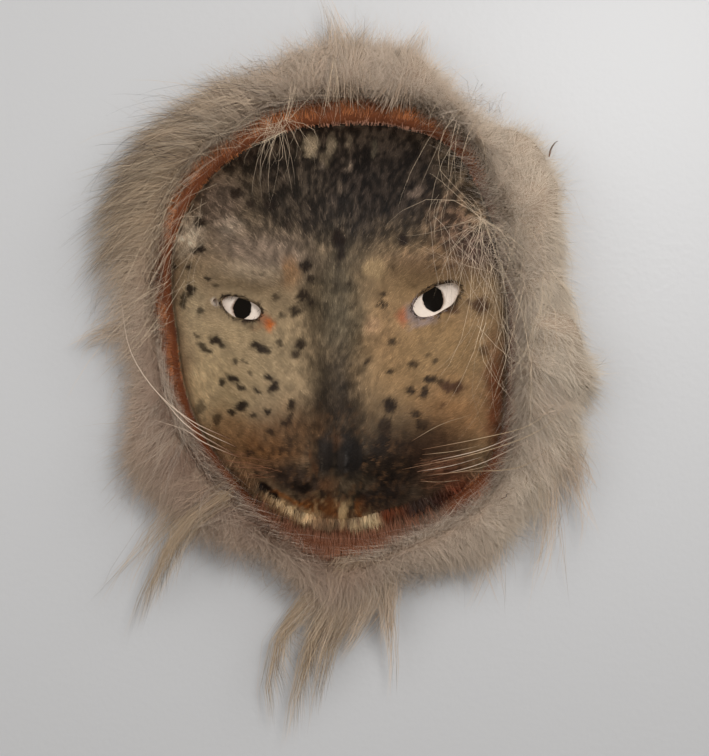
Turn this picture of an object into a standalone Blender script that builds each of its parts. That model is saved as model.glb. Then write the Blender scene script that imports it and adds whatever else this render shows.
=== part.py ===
"""Spotted hide face mask with a fur ruff, as it hangs on a wall.

A hide is moulded into a hollow animal face with two cut-out eyes, and its edge is a flat flange.
A pale patch with a pupil hole lies behind each eye. A strip of short fur covers the flange from
the front. The ruff is a strip of long fur on a flat hide backing that lies behind the flange.

Units are metres. +Z is up, and the face looks along -Y. The back plane is y = 0. The origin is the
point where the mask hangs, at the top of its open back.
"""

import math

import bmesh
import bpy

MM = 0.001

# Walls and gaps, in mm
HIDE = 2.0
PATCH = 1.2
BACKING = 1.8
GAP = 0.3
PATCH_GAP = 0.6
FLANGE_FRONT = BACKING + GAP + HIDE

# The face's centre lies this far below the hanging point, just inside the rim's top
CENTRE_DROP = 114.0

# Round the face, by bearing clockwise from its top as seen from the front, in mm:
# the hide's edge from the face's centre, the trim's width outside it, the ruff's reach from the
# centre, how far the ruff stands out from the back plane, and how far it leans in over the trim
RIM_COLUMNS = ("bearing", "hide", "trim", "reach", "stand", "lap")
RIM = (
    (0, 116, 14, 172, 36, 0),
    (15, 119, 12, 169, 36, 0),
    (30, 120, 10, 156, 38, 4),
    (45, 110, 9, 158, 42, 10),
    (60, 101, 9, 146, 46, 14),
    (75, 95, 9, 136, 48, 16),
    (90, 93, 9, 141, 48, 16),
    (105, 95, 9, 150, 48, 16),
    (120, 103, 9, 156, 44, 12),
    (135, 109, 10, 150, 40, 6),
    (150, 109, 10, 157, 36, 2),
    (165, 108, 12, 152, 34, 0),
    (180, 110, 13, 172, 34, 0),
    (195, 107, 10, 148, 34, 0),
    (210, 100, 9, 150, 34, 2),
    (225, 95, 8, 158, 34, 3),
    (240, 92, 8, 146, 34, 3),
    (255, 90, 8, 139, 32, 2),
    (270, 90, 8, 136, 32, 0),
    (285, 96, 8, 147, 32, 0),
    (300, 105, 8, 164, 34, 0),
    (315, 111, 10, 168, 36, 0),
    (330, 114, 11, 163, 36, 0),
    (345, 116, 13, 160, 36, 0),
)

# The moulded face: a dome over the hide's outline, and round swellings and hollows on it, each as
# x, z, half width, half height, and how far it swells out or sinks in
DOME = 34.0
DOME_SQUARE, DOME_ROUND = 4.0, 0.75
RELIEF = {
    "forehead": (0, 62, 62, 40, 5),
    "brow_left": (-46, 33, 27, 10, 5),
    "brow_right": (46, 36, 27, 10, 5),
    "socket_left": (-52, 14, 22, 15, -6),
    "socket_right": (51, 17, 24, 16, -6),
    "nose_bridge": (-2, -4, 14, 46, 11),
    "cheek_left": (-54, -28, 24, 28, 5),
    "cheek_right": (54, -28, 24, 28, 5),
    "muzzle": (-1, -66, 46, 32, 19),
    "whisker_pad_left": (-22, -72, 18, 14, 5),
    "whisker_pad_right": (20, -72, 18, 14, 5),
    "nose": (-3, -62, 13, 15, 6),
    "mouth": (-2, -92, 34, 5, -3),
}
SWELL = 1.3

# Rings of grid squares from the face's centre to the flange's edge, those that are the flange,
# and how much closer the others lie near the flange
FACE_RINGS = 16
FLANGE_RINGS = 2
PATCH_RINGS = 4
RIM_CROWDING = 1.3

# Eyes, in mm: the pupil's centre and radius, the patch's centre, half sizes and tilt, and the
# opening's outline round the pupil's centre, clockwise from its outer or inner corner at the left
EYES = {
    "left": {
        "pupil": (-53.3, 13.7),
        "pupil_radius": 4.95,
        "patch": (-57.0, 13.5, 20.0, 12.0, -10.0),
        "outline": (
            (-10.3, 3.9),
            (-8.2, 5.9),
            (-4.8, 6.4),
            (2.3, 4.6),
            (8.6, 1.4),
            (10.9, -1.7),
            (9.8, -4.8),
            (7.0, -6.2),
            (2.0, -5.9),
            (-3.7, -4.5),
            (-8.6, -0.6),
        ),
    },
    "right": {
        "pupil": (51.3, 18.2),
        "pupil_radius": 5.7,
        "patch": (51.5, 18.0, 20.0, 12.5, 28.0),
        "outline": (
            (-11.6, -5.3),
            (-10.6, -1.5),
            (-8.4, 1.6),
            (-3.6, 4.8),
            (0.8, 7.2),
            (6.6, 8.8),
            (11.0, 8.9),
            (14.0, 6.0),
            (12.5, 1.7),
            (9.6, -2.4),
            (5.4, -5.2),
            (-1.0, -8.7),
            (-8.1, -9.2),
        ),
    },
}
# A small hole beside the left eye's outer corner shows the same patch
PINHOLE = {"centre": (-67.3, 16.8), "half_width": 1.4, "half_height": 2.1}
# The cutters go through everything from the back plane forwards
CUT_DEPTH = 100.0
PUPIL_SIDES = 20

# The fur trim: its distance from the hide's edge and its height, and its section as shares of its
# width and height
TRIM_INSET = 1.2
TRIM_HEIGHT = 8.0
TRIM_STATIONS = 48
TRIM_SHAPE = (
    (0.0, 0.0),
    (0.0, 0.45),
    (0.2, 0.85),
    (0.5, 1.0),
    (0.8, 0.85),
    (1.0, 0.45),
    (1.0, 0.0),
)

# The ruff: how far its backing lies outside the hide's edge and its fur outside the flange, how
# far out its body goes as a share of the fur's reach, and how far the body's furrows and ridges
# sink and rise, as a share of its height
RUFF_LAP = 2.0
RUFF_CLEAR = 2.2
BODY_SHARE = 0.58
RUFF_STATIONS = 56
RIDGE = 0.07
# The body's section beyond the lip: shares of its width, of how far it leans in, and of its height
BODY_SHAPE = (
    (0.0, 0.0, 0.5),
    (0.0, 1.0, 0.72),
    (0.1, 0.5, 0.92),
    (0.42, 0.0, 1.0),
    (0.72, 0.0, 0.82),
    (0.95, 0.0, 0.48),
    (1.0, 0.0, 0.15),
    (0.9, 0.0, 0.0),
)

# Locks of the ruff, in rows that run round the body: how many, the share of the reach that the
# tips come to, the root's radius, and its distance from the back plane as a share of the stand
LOCK_ROWS = (
    (32, 0.98, 12.5, 0.46),
    (20, 0.80, 12.0, 0.74),
)
LOCK_ROOT = 4.0
LOCK_DROOP = 0.20
LOCK_SPREAD_DEG = 6.0
# How much a lock's length and height differ from its neighbours', and how far its tip sinks back
LOCK_VARIES = 0.06
LOCK_SINKS = 0.45
# A lock's thickness along it, as shares of its root's
LOCK_TAPER = (1.0, 0.95, 0.8, 0.5, 0.1)

# Tails that hang below the rows, in mm from the face's centre: root, middle and tip, and radius
TAILS = {
    "centre_left": ((-8, -14, -140), (-30, -16, -176), (-40, -12, -205), 12.0),
    "centre_middle": ((0, -15, -138), (-8, -18, -182), (-30, -14, -226), 11.0),
    "centre_right": ((14, -14, -138), (22, -15, -164), (18, -12, -186), 10.0),
    "lower_left": ((-68, -20, -98), (-98, -22, -126), (-116, -16, -166), 8.0),
    "lower_right": ((112, -18, -74), (124, -18, -110), (118, -14, -142), 7.0),
    "bottom_right": ((84, -18, -110), (92, -18, -132), (88, -14, -152), 7.0),
    "side_left": ((-116, -16, -20), (-132, -18, -20), (-142, -12, -30), 8.0),
    "top": ((4, -20, 146), (2, -18, 162), (-4, -14, 172), 11.0),
}

COLOURS = {
    "face_shell": ((0.24, 0.19, 0.13), 0.7),
    "eye_patch": ((0.76, 0.71, 0.62), 0.6),
    "fur_trim": ((0.28, 0.12, 0.06), 0.9),
    "ruff": ((0.42, 0.38, 0.33), 0.95),
}


def rim(column, bearing_deg):
    """A column of RIM at any bearing, on a smooth closed curve through its rows."""
    values = [row[RIM_COLUMNS.index(column)] for row in RIM]
    count = len(values)
    place = (bearing_deg % 360.0) / 360.0 * count
    first = int(place) % count
    t = place - int(place)
    a, b, c, d = (values[(first + k) % count] for k in (-1, 0, 1, 2))
    return 0.5 * (
        2 * b + (c - a) * t + (2 * a - 5 * b + 4 * c - d) * t * t + (3 * b - a - 3 * c + d) * t**3
    )


def polar(x, z):
    """Bearing in degrees clockwise from the top, and distance, of a point of the front view."""
    return math.degrees(math.atan2(x, z)), math.hypot(x, z)


def across(bearing_deg, radius):
    """The front view's x and z, from the face's centre, at a bearing and a distance."""
    angle = math.radians(bearing_deg)
    return radius * math.sin(angle), radius * math.cos(angle)


def face_height(x, z):
    """How far the face's outer surface stands out from the back plane, in mm."""
    bearing, radius = polar(x, z)
    s = min(radius / rim("hide", bearing), 1.0)
    height = DOME * (1.0 - s**DOME_SQUARE) ** DOME_ROUND
    fade = 1.0 - s**6
    for cx, cz, half_x, half_z, lift in RELIEF.values():
        away = ((x - cx) / half_x) ** 2 + ((z - cz) / half_z) ** 2
        height += fade * lift * math.exp(-(away**SWELL))
    return FLANGE_FRONT + height


def face_point(x, z, inward=0.0):
    """A point of the face's outer surface, or one that lies inward of it along its normal."""
    step = 0.5
    slope_x = (face_height(x + step, z) - face_height(x - step, z)) / (2 * step)
    slope_z = (face_height(x, z + step) - face_height(x, z - step)) / (2 * step)
    length = math.sqrt(1.0 + slope_x**2 + slope_z**2)
    k = inward / length
    return x + k * slope_x, -(face_height(x, z) - k), z + k * slope_z


def placed(x, y, z):
    """A point in metres in the object's frame, from mm at the face's centre."""
    return x * MM, y * MM, (z - CENTRE_DROP) * MM


def clear_scene():
    for thing in list(bpy.data.objects):
        bpy.data.objects.remove(thing)


def collection(name):
    made = bpy.data.collections.new(name)
    bpy.context.scene.collection.children.link(made)
    return made


def material(name):
    colour, roughness = COLOURS[name]
    made = bpy.data.materials.new(name)
    made.use_nodes = True
    shader = made.node_tree.nodes["Principled BSDF"]
    shader.inputs["Base Color"].default_value = (*colour, 1.0)
    shader.inputs["Roughness"].default_value = roughness
    return made


def move_to(thing, target):
    for holder in list(thing.users_collection):
        holder.objects.unlink(thing)
    target.objects.link(thing)


def round_grid(name, rings, place, target):
    """A grid whose squares round its middle become rings of a disc. place(share, bearing) gives
    each point in mm: share is 0 at the middle and 1 at the edge."""
    bpy.ops.mesh.primitive_grid_add(x_subdivisions=2 * rings, y_subdivisions=2 * rings, size=2)
    thing = bpy.context.object
    thing.name = thing.data.name = name
    for vertex in thing.data.vertices:
        a, b = vertex.co.x, vertex.co.y
        share = max(abs(a), abs(b))
        if abs(a) > abs(b):
            bearing = math.copysign(90.0, a) - 45.0 * b / a
        else:
            bearing = 45.0 * a / b + (180.0 if b < 0 else 0.0) if b else 0.0
        vertex.co = placed(*place(share, bearing))
    move_to(thing, target)
    return thing


def solidify(thing, thickness):
    """Gives an open sheet its wall, towards +Y and the wearer."""
    wall = thing.modifiers.new("wall", "SOLIDIFY")
    wall.thickness = thickness * MM
    wall.offset = -1.0
    wall.use_even_offset = True
    return wall


def cutter_from_outline(name, points, target):
    """A prism along Y through a smooth closed outline of the front view, in mm."""
    curve = bpy.data.curves.new(name, "CURVE")
    curve.dimensions = "2D"
    curve.fill_mode = "BOTH"
    curve.extrude = CUT_DEPTH / 2 * MM
    curve.resolution_u = 3
    spline = curve.splines.new("BEZIER")
    spline.use_cyclic_u = True
    spline.bezier_points.add(len(points) - 1)
    for knot, (x, z) in zip(spline.bezier_points, points):
        knot.co = (x * MM, (z - CENTRE_DROP) * MM, 0.0)
        knot.handle_left_type = knot.handle_right_type = "AUTO"
    thing = bpy.data.objects.new(name, curve)
    thing.location.y = -CUT_DEPTH / 2 * MM
    thing.rotation_euler.x = math.radians(90)
    target.objects.link(thing)
    return as_mesh(thing, target)


def as_mesh(thing, target):
    """A mesh object in place of a curve object, with its caps welded."""
    bpy.context.view_layer.update()
    evaluated = thing.evaluated_get(bpy.context.evaluated_depsgraph_get())
    mesh = bpy.data.meshes.new_from_object(evaluated)
    mesh.transform(thing.matrix_world)
    work = bmesh.new()
    work.from_mesh(mesh)
    bmesh.ops.remove_doubles(work, verts=work.verts, dist=0.00001)
    bmesh.ops.recalc_face_normals(work, faces=work.faces)
    work.to_mesh(mesh)
    work.free()
    name = thing.name
    bpy.data.objects.remove(thing)
    made = bpy.data.objects.new(name, mesh)
    target.objects.link(made)
    return made


def hide_cutter(thing):
    thing.hide_render = True
    thing.display_type = "WIRE"
    return thing


def combine(thing, other, operation, own_overlaps=False):
    change = thing.modifiers.new(other.name, "BOOLEAN")
    change.operation = operation
    change.solver = "EXACT"
    change.use_self = own_overlaps
    change.object = other


def finish(thing, material_name):
    thing.data.materials.clear()
    thing.data.materials.append(bpy.data.materials.get(material_name) or material(material_name))
    thing.data.shade_smooth()
    thing.data.set_sharp_from_angle(angle=math.radians(40))


def eye_outline(side):
    cx, cz = EYES[side]["pupil"]
    return [(cx + x, cz + z) for x, z in EYES[side]["outline"]]


def build_face(parts, cutters):
    """The moulded hide with its flange, open at the back, cut through at the eyes."""

    flange_starts = 1.0 - FLANGE_RINGS / FACE_RINGS

    def place(share, bearing):
        inside = min(share / flange_starts, 1.0)
        outside = max(share - flange_starts, 0.0) / (1.0 - flange_starts)
        radius = rim("hide", bearing) * (1.0 - (1.0 - inside) ** RIM_CROWDING)
        x, z = across(bearing, radius + rim("trim", bearing) * outside)
        return x, -face_height(x, z), z

    face = round_grid("face_shell", FACE_RINGS, place, parts)
    solidify(face, HIDE)
    for side in EYES:
        cutter = cutter_from_outline(f"eye_cutter_{side}", eye_outline(side), cutters)
        combine(face, hide_cutter(cutter), "DIFFERENCE")
    x, z = PINHOLE["centre"]
    pinhole = [
        (x + PINHOLE["half_width"] * math.cos(turn), z + PINHOLE["half_height"] * math.sin(turn))
        for turn in (math.pi / 2, 0.0, -math.pi / 2, math.pi)
    ]
    cutter = cutter_from_outline("pinhole_cutter", pinhole, cutters)
    combine(face, hide_cutter(cutter), "DIFFERENCE")
    finish(face, "face_shell")


def build_eye_patch(side, parts, cutters):
    """The pale patch behind an eye's opening, following the face, with the pupil's hole."""
    cx, cz, half_x, half_z, tilt = EYES[side]["patch"]
    turn = math.radians(tilt)

    def place(share, bearing):
        disc_x, disc_z = across(bearing, share)
        along, up = disc_x * half_x, disc_z * half_z
        x = cx + along * math.cos(turn) - up * math.sin(turn)
        z = cz + along * math.sin(turn) + up * math.cos(turn)
        return face_point(x, z, HIDE + PATCH_GAP)

    patch = round_grid(f"eye_patch_{side}", PATCH_RINGS, place, parts)
    solidify(patch, PATCH)
    x, z = EYES[side]["pupil"]
    bpy.ops.mesh.primitive_cylinder_add(
        vertices=PUPIL_SIDES,
        radius=EYES[side]["pupil_radius"] * MM,
        depth=CUT_DEPTH * MM,
        location=placed(x, -CUT_DEPTH / 2, z),
        rotation=(math.radians(90), 0, 0),
    )
    hole = bpy.context.object
    hole.name = f"pupil_cutter_{side}"
    move_to(hole, cutters)
    combine(patch, hide_cutter(hole), "DIFFERENCE")
    finish(patch, "eye_patch")


def ring_mesh(name, stations, section, target):
    """A closed ring round the face: section(bearing) gives its points as (radius, y), in mm."""
    work = bmesh.new()
    rings = []
    for k in range(stations):
        bearing = 360.0 * k / stations
        ring = []
        for radius, y in section(bearing):
            x, z = across(bearing, radius)
            ring.append(work.verts.new(placed(x, y, z)))
        rings.append(ring)
    for k, ring in enumerate(rings):
        following = rings[(k + 1) % stations]
        for i in range(len(ring)):
            j = (i + 1) % len(ring)
            work.faces.new((ring[i], ring[j], following[j], following[i]))
    bmesh.ops.recalc_face_normals(work, faces=work.faces)
    mesh = bpy.data.meshes.new(name)
    work.to_mesh(mesh)
    work.free()
    thing = bpy.data.objects.new(name, mesh)
    target.objects.link(thing)
    return thing


def build_trim(parts):
    """A rounded strip of short fur on the front of the flange."""
    back = -(FLANGE_FRONT + GAP)

    def section(bearing):
        inner = rim("hide", bearing) + TRIM_INSET
        width = rim("trim", bearing) - TRIM_INSET
        return [(inner + width * a, back - TRIM_HEIGHT * b) for a, b in TRIM_SHAPE]

    finish(ring_mesh("fur_trim", TRIM_STATIONS, section, parts), "fur_trim")


def core_section(bearing):
    """The ruff's section at a bearing: its flat backing behind the flange, and the fur's body."""
    hide = rim("hide", bearing)
    lip = hide + rim("trim", bearing) + RUFF_CLEAR
    width = (rim("reach", bearing) - lip) * BODY_SHARE
    lap = rim("lap", bearing)
    ridge = 1.0 + RIDGE * math.cos(math.radians(bearing) * RUFF_STATIONS / 2)
    height = rim("stand", bearing) * ridge
    backing = [(hide + RUFF_LAP, 0.0), (hide + RUFF_LAP, -BACKING), (lip, -BACKING)]
    return backing + [(lip + width * a - lap * b, -height * c) for a, b, c in BODY_SHAPE]


def lock_lines():
    """Each lock's points, in mm from the face's centre, and its root's radius."""
    lines = []
    for row, (count, share, radius, height) in enumerate(LOCK_ROWS):
        for k in range(count):
            bearing = 360.0 * (k + 0.5 * row) / count
            wave = math.sin(k * 2.4 + row)
            lip = rim("hide", bearing) + rim("trim", bearing)
            reach = rim("reach", bearing)
            start = lip + RUFF_CLEAR + LOCK_ROOT
            end = lip + (reach - lip) * share * (1.0 + LOCK_VARIES * wave)
            depth = rim("stand", bearing) * height * (1.0 - LOCK_VARIES * wave)
            points = []
            for t in (0.0, 0.4, 0.75, 1.0):
                turn = bearing + LOCK_SPREAD_DEG * wave * t * t
                x, z = across(turn, start + (end - start) * t)
                fall = LOCK_DROOP * (end - start) * t * t
                points.append((x, -depth * (1.0 - LOCK_SINKS * t * t), z - fall))
            lines.append((points, radius))
    for root, middle, tip, radius in TAILS.values():
        points = []
        for t in (0.0, 0.25, 0.5, 0.75, 1.0):
            weights = ((1 - t) ** 2, 2 * t * (1 - t), t * t)
            points.append(
                tuple(
                    sum(w * p[axis] for w, p in zip(weights, (root, middle, tip)))
                    for axis in range(3)
                )
            )
        lines.append((points, radius))
    return lines


def build_ruff(parts, cutters):
    """The fur's body on its backing, with tapered locks and hanging tails joined to it."""
    ruff = ring_mesh("ruff", RUFF_STATIONS, core_section, parts)
    curve = bpy.data.curves.new("locks", "CURVE")
    curve.dimensions = "3D"
    curve.bevel_depth = MM
    curve.bevel_resolution = 1
    curve.use_fill_caps = True
    for points, radius in lock_lines():
        spline = curve.splines.new("POLY")
        spline.points.add(len(points) - 1)
        for k, (knot, point) in enumerate(zip(spline.points, points)):
            knot.co = (*placed(*point), 1.0)
            knot.radius = radius * LOCK_TAPER[k + len(LOCK_TAPER) - len(points) if k else 0]
    thing = bpy.data.objects.new("locks", curve)
    cutters.objects.link(thing)
    combine(ruff, hide_cutter(as_mesh(thing, cutters)), "UNION", own_overlaps=True)
    finish(ruff, "ruff")


def build():
    clear_scene()
    parts = collection("hide_mask")
    cutters = collection("cutters")
    build_face(parts, cutters)
    for side in EYES:
        build_eye_patch(side, parts, cutters)
    build_trim(parts)
    build_ruff(parts, cutters)


build()
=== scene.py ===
"""Looks of the spotted hide face mask: moulded hide with short hair, eye patches, fur trim,
long-haired ruff with hanging tails, and whiskers, as it hangs on a pale wall.

Lengths are worked out in mm from the face's centre, with +y into the wall, and become metres in
the frame's axes when a mesh is made. Bearings are degrees clockwise from the face's top. Places
read from the photograph are pixels of its 709 x 756 frame. Hair is made as thin tapered ribbons,
joined into a few meshes.
"""

import math

import bpy
import numpy as np
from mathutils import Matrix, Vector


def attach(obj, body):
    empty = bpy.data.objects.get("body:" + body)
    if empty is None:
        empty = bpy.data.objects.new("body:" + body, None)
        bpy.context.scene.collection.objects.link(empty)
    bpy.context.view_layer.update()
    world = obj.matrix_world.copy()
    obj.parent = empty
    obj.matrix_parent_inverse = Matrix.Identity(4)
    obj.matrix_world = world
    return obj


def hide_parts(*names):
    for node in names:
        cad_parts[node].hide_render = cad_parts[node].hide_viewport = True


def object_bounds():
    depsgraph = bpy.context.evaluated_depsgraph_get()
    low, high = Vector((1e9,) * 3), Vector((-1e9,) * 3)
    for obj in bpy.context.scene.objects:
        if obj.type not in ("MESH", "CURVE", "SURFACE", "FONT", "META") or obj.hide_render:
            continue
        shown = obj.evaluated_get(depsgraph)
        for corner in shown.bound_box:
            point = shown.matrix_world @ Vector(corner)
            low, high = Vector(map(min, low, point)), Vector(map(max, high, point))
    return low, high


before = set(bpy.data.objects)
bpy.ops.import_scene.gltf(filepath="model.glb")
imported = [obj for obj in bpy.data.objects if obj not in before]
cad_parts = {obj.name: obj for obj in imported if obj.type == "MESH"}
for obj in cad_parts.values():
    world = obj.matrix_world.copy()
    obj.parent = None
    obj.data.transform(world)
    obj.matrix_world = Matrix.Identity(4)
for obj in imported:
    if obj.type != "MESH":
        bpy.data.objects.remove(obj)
CAD_LOW, CAD_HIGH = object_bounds()

MM = 0.001
CENTRE_DROP = 114.0

# The photograph: its size and the face's centre in pixels, a pixel's size at the wall, and the
# camera's distance from the wall
PHOTO_WIDE, PHOTO_HIGH = 709, 756
FACE_PX = (340.0, 335.0)
MM_PER_PX = 0.56
CAMERA_FAR = 850.0
CAMERA_X = (PHOTO_WIDE / 2 - FACE_PX[0]) * MM_PER_PX
CAMERA_Z = (FACE_PX[1] - PHOTO_HIGH / 2) * MM_PER_PX
SENSOR_MM = 36.0

# Walls and gaps as in the solids, in mm
HIDE = 2.0
BACKING = 1.8
GAP = 0.3
PATCH_GAP = 0.6
PATCH = 1.2
FLANGE_FRONT = BACKING + GAP + HIDE
TRIM_INSET = 1.2
TRIM_HEIGHT = 8.0
RUFF_CLEAR = 2.2
RUFF_LAP = 2.0

# Round the face, by bearing: the hide's edge, the trim's width, the fur's reach, how far it
# stands out, leans in and droops, how far its inner hair covers the trim, how woolly it is, how
# much of its reach is dense, and what share of its hair has dark tips
RIM_COLUMNS = (
    "bearing", "hide", "trim", "reach", "stand", "lap",
    "droop", "cover", "wool", "dense", "dark_tips",
)
RIM = (
    (0, 116, 14, 172, 36, 0, 2, 0, 0.8, 0.80, 0.05),
    (15, 119, 12, 169, 36, 0, 4, 0, 0.9, 0.88, 0.0),
    (30, 120, 11, 149, 38, 4, 6, 1, 1.0, 0.92, 0.0),
    (45, 110, 9, 160, 42, 10, 8, 12, 1.0, 0.92, 0.0),
    (60, 101, 9, 146, 46, 14, 14, 17, 1.0, 0.92, 0.0),
    (75, 95, 9, 136, 48, 16, 22, 16, 0.9, 0.92, 0.0),
    (90, 93, 9, 141, 48, 16, 26, 15, 0.8, 0.92, 0.0),
    (105, 95, 9, 150, 48, 16, 24, 13, 0.8, 0.9, 0.05),
    (120, 103, 9, 156, 44, 12, 18, 11, 0.8, 0.88, 0.05),
    (135, 109, 10, 150, 40, 6, 12, 9, 0.8, 0.85, 0.05),
    (150, 109, 10, 155, 36, 6, 8, 14, 0.8, 0.80, 0.05),
    (165, 108, 12, 139, 34, 2, 6, 9, 0.8, 0.82, 0.1),
    (180, 110, 13, 168, 34, -3, 4, -2, 0.5, 0.62, 0.1),
    (195, 107, 10, 133, 34, 0, 6, 1, 0.7, 0.82, 0.05),
    (210, 100, 9, 136, 34, 2, 6, 5, 0.7, 0.84, 0.05),
    (225, 95, 8, 147, 34, 3, 8, 8, 0.7, 0.76, 0.05),
    (240, 92, 8, 149, 34, 3, 14, 8, 0.6, 0.78, 0.05),
    (255, 90, 8, 129, 30, 2, 12, 6, 0.6, 0.72, 0.05),
    (270, 90, 8, 137, 30, 0, 10, 2, 0.5, 0.60, 0.15),
    (285, 96, 9, 142, 32, 0, 8, 2, 0.3, 0.58, 0.4),
    (300, 105, 8, 154, 34, 0, 4, 4, 0.1, 0.62, 0.75),
    (315, 111, 11, 162, 36, 0, 2, 3, 0.1, 0.68, 0.8),
    (330, 114, 11, 163, 36, 0, 2, 4, 0.2, 0.78, 0.5),
    (345, 116, 13, 160, 36, 0, 2, 3, 0.6, 0.82, 0.15),
)

# Stretches of the rim with a look of their own: middle and half width in degrees, and the level
# from which it falls, 1 being its highest
STRETCHES = {
    "trim_lost_left": (224, 24, 1.5),
    "trim_lost_by_mouth": (157, 8, 1.5),
    "chin_trim": (183, 30, 1.3),
    "trim_tuft": (139, 12, 1.4),
    "dull_trim_left": (292, 12, 1.2),
    "dull_trim_right": (90, 60, 1.0),
    "pink_top_from_bottom": (190, 45, 1.0),
    "red_inner_wool": (225, 80, 1.3),
    "brown_and_shaded_wool": (218, 48, 1.25),
    "airy": (274, 26, 1.3),
}

# The moulded face, as in the solids: a dome, with round swellings and hollows on it, each as its
# x, z, half width, half height and lift
DOME = 34.0
DOME_SQUARE, DOME_ROUND = 4.0, 0.75
SWELL = 1.3
RELIEF = {
    "forehead": (0, 62, 62, 40, 5),
    "brow_left": (-46, 33, 27, 10, 5),
    "brow_right": (46, 36, 27, 10, 5),
    "socket_left": (-52, 14, 22, 15, -6),
    "socket_right": (51, 17, 24, 16, -6),
    "nose_bridge": (-2, -4, 14, 46, 11),
    "cheek_left": (-54, -28, 24, 28, 5),
    "cheek_right": (54, -28, 24, 28, 5),
    "muzzle": (-1, -66, 46, 32, 19),
    "whisker_pad_left": (-22, -72, 18, 14, 5),
    "whisker_pad_right": (20, -72, 18, 14, 5),
    "nose": (-3, -62, 13, 15, 6),
    "mouth": (-2, -92, 34, 5, -3),
}
# Finer forms that only show here, in the same columns
FINE_RELIEF = {
    "nose_lobe_left": (-9.5, -64, 3.6, 11, 1.6),
    "nose_lobe_right": (4.5, -64, 4.6, 11, 1.6),
    "nose_crease_left": (-14.0, -66, 1.6, 10, -1.6),
    "nose_crease_middle": (-3.2, -64, 1.7, 11, -2.6),
    "nose_crease_right": (10.5, -66, 1.7, 10, -1.4),
    "chin_cleft": (-2, -84, 1.8, 9, -1.4),
    "lip_left": (-25, -93, 15, 3, 1.6),
    "lip_right": (20, -93, 15, 3, 1.2),
}
LID_LIFT, LID_FROM_EYE, LID_WIDE = 1.1, 1.2, 1.8

# Eyes, in mm: the pupil's centre and radius, the patch's centre, half sizes and tilt, and the
# opening's outline round the pupil's centre
EYES = {
    "left": {
        "pupil": (-53.3, 13.7),
        "pupil_radius": 4.95,
        "patch": (-57.0, 13.5, 20.0, 12.0, -10.0),
        "outline": (
            (-10.3, 3.9), (-8.2, 5.9), (-4.8, 6.4), (2.3, 4.6), (8.6, 1.4), (10.9, -1.7),
            (9.8, -4.8), (7.0, -6.2), (2.0, -5.9), (-3.7, -4.5), (-8.6, -0.6),
        ),
        "seed": 3,
    },
    "right": {
        "pupil": (51.3, 18.2),
        "pupil_radius": 5.7,
        "patch": (51.5, 18.0, 20.0, 12.5, 28.0),
        "outline": (
            (-11.6, -5.3), (-10.6, -1.5), (-8.4, 1.6), (-3.6, 4.8), (0.8, 7.2), (6.6, 8.8),
            (11.0, 8.9), (14.0, 6.0), (12.5, 1.7), (9.6, -2.4), (5.4, -5.2), (-1.0, -8.7),
            (-8.1, -9.2),
        ),
        "seed": 4,
    },
}
PINHOLE = {"centre": (-67.3, 16.8), "half_width": 1.4, "half_height": 2.1}
FAR_FROM_EYES = 12.0

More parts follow.
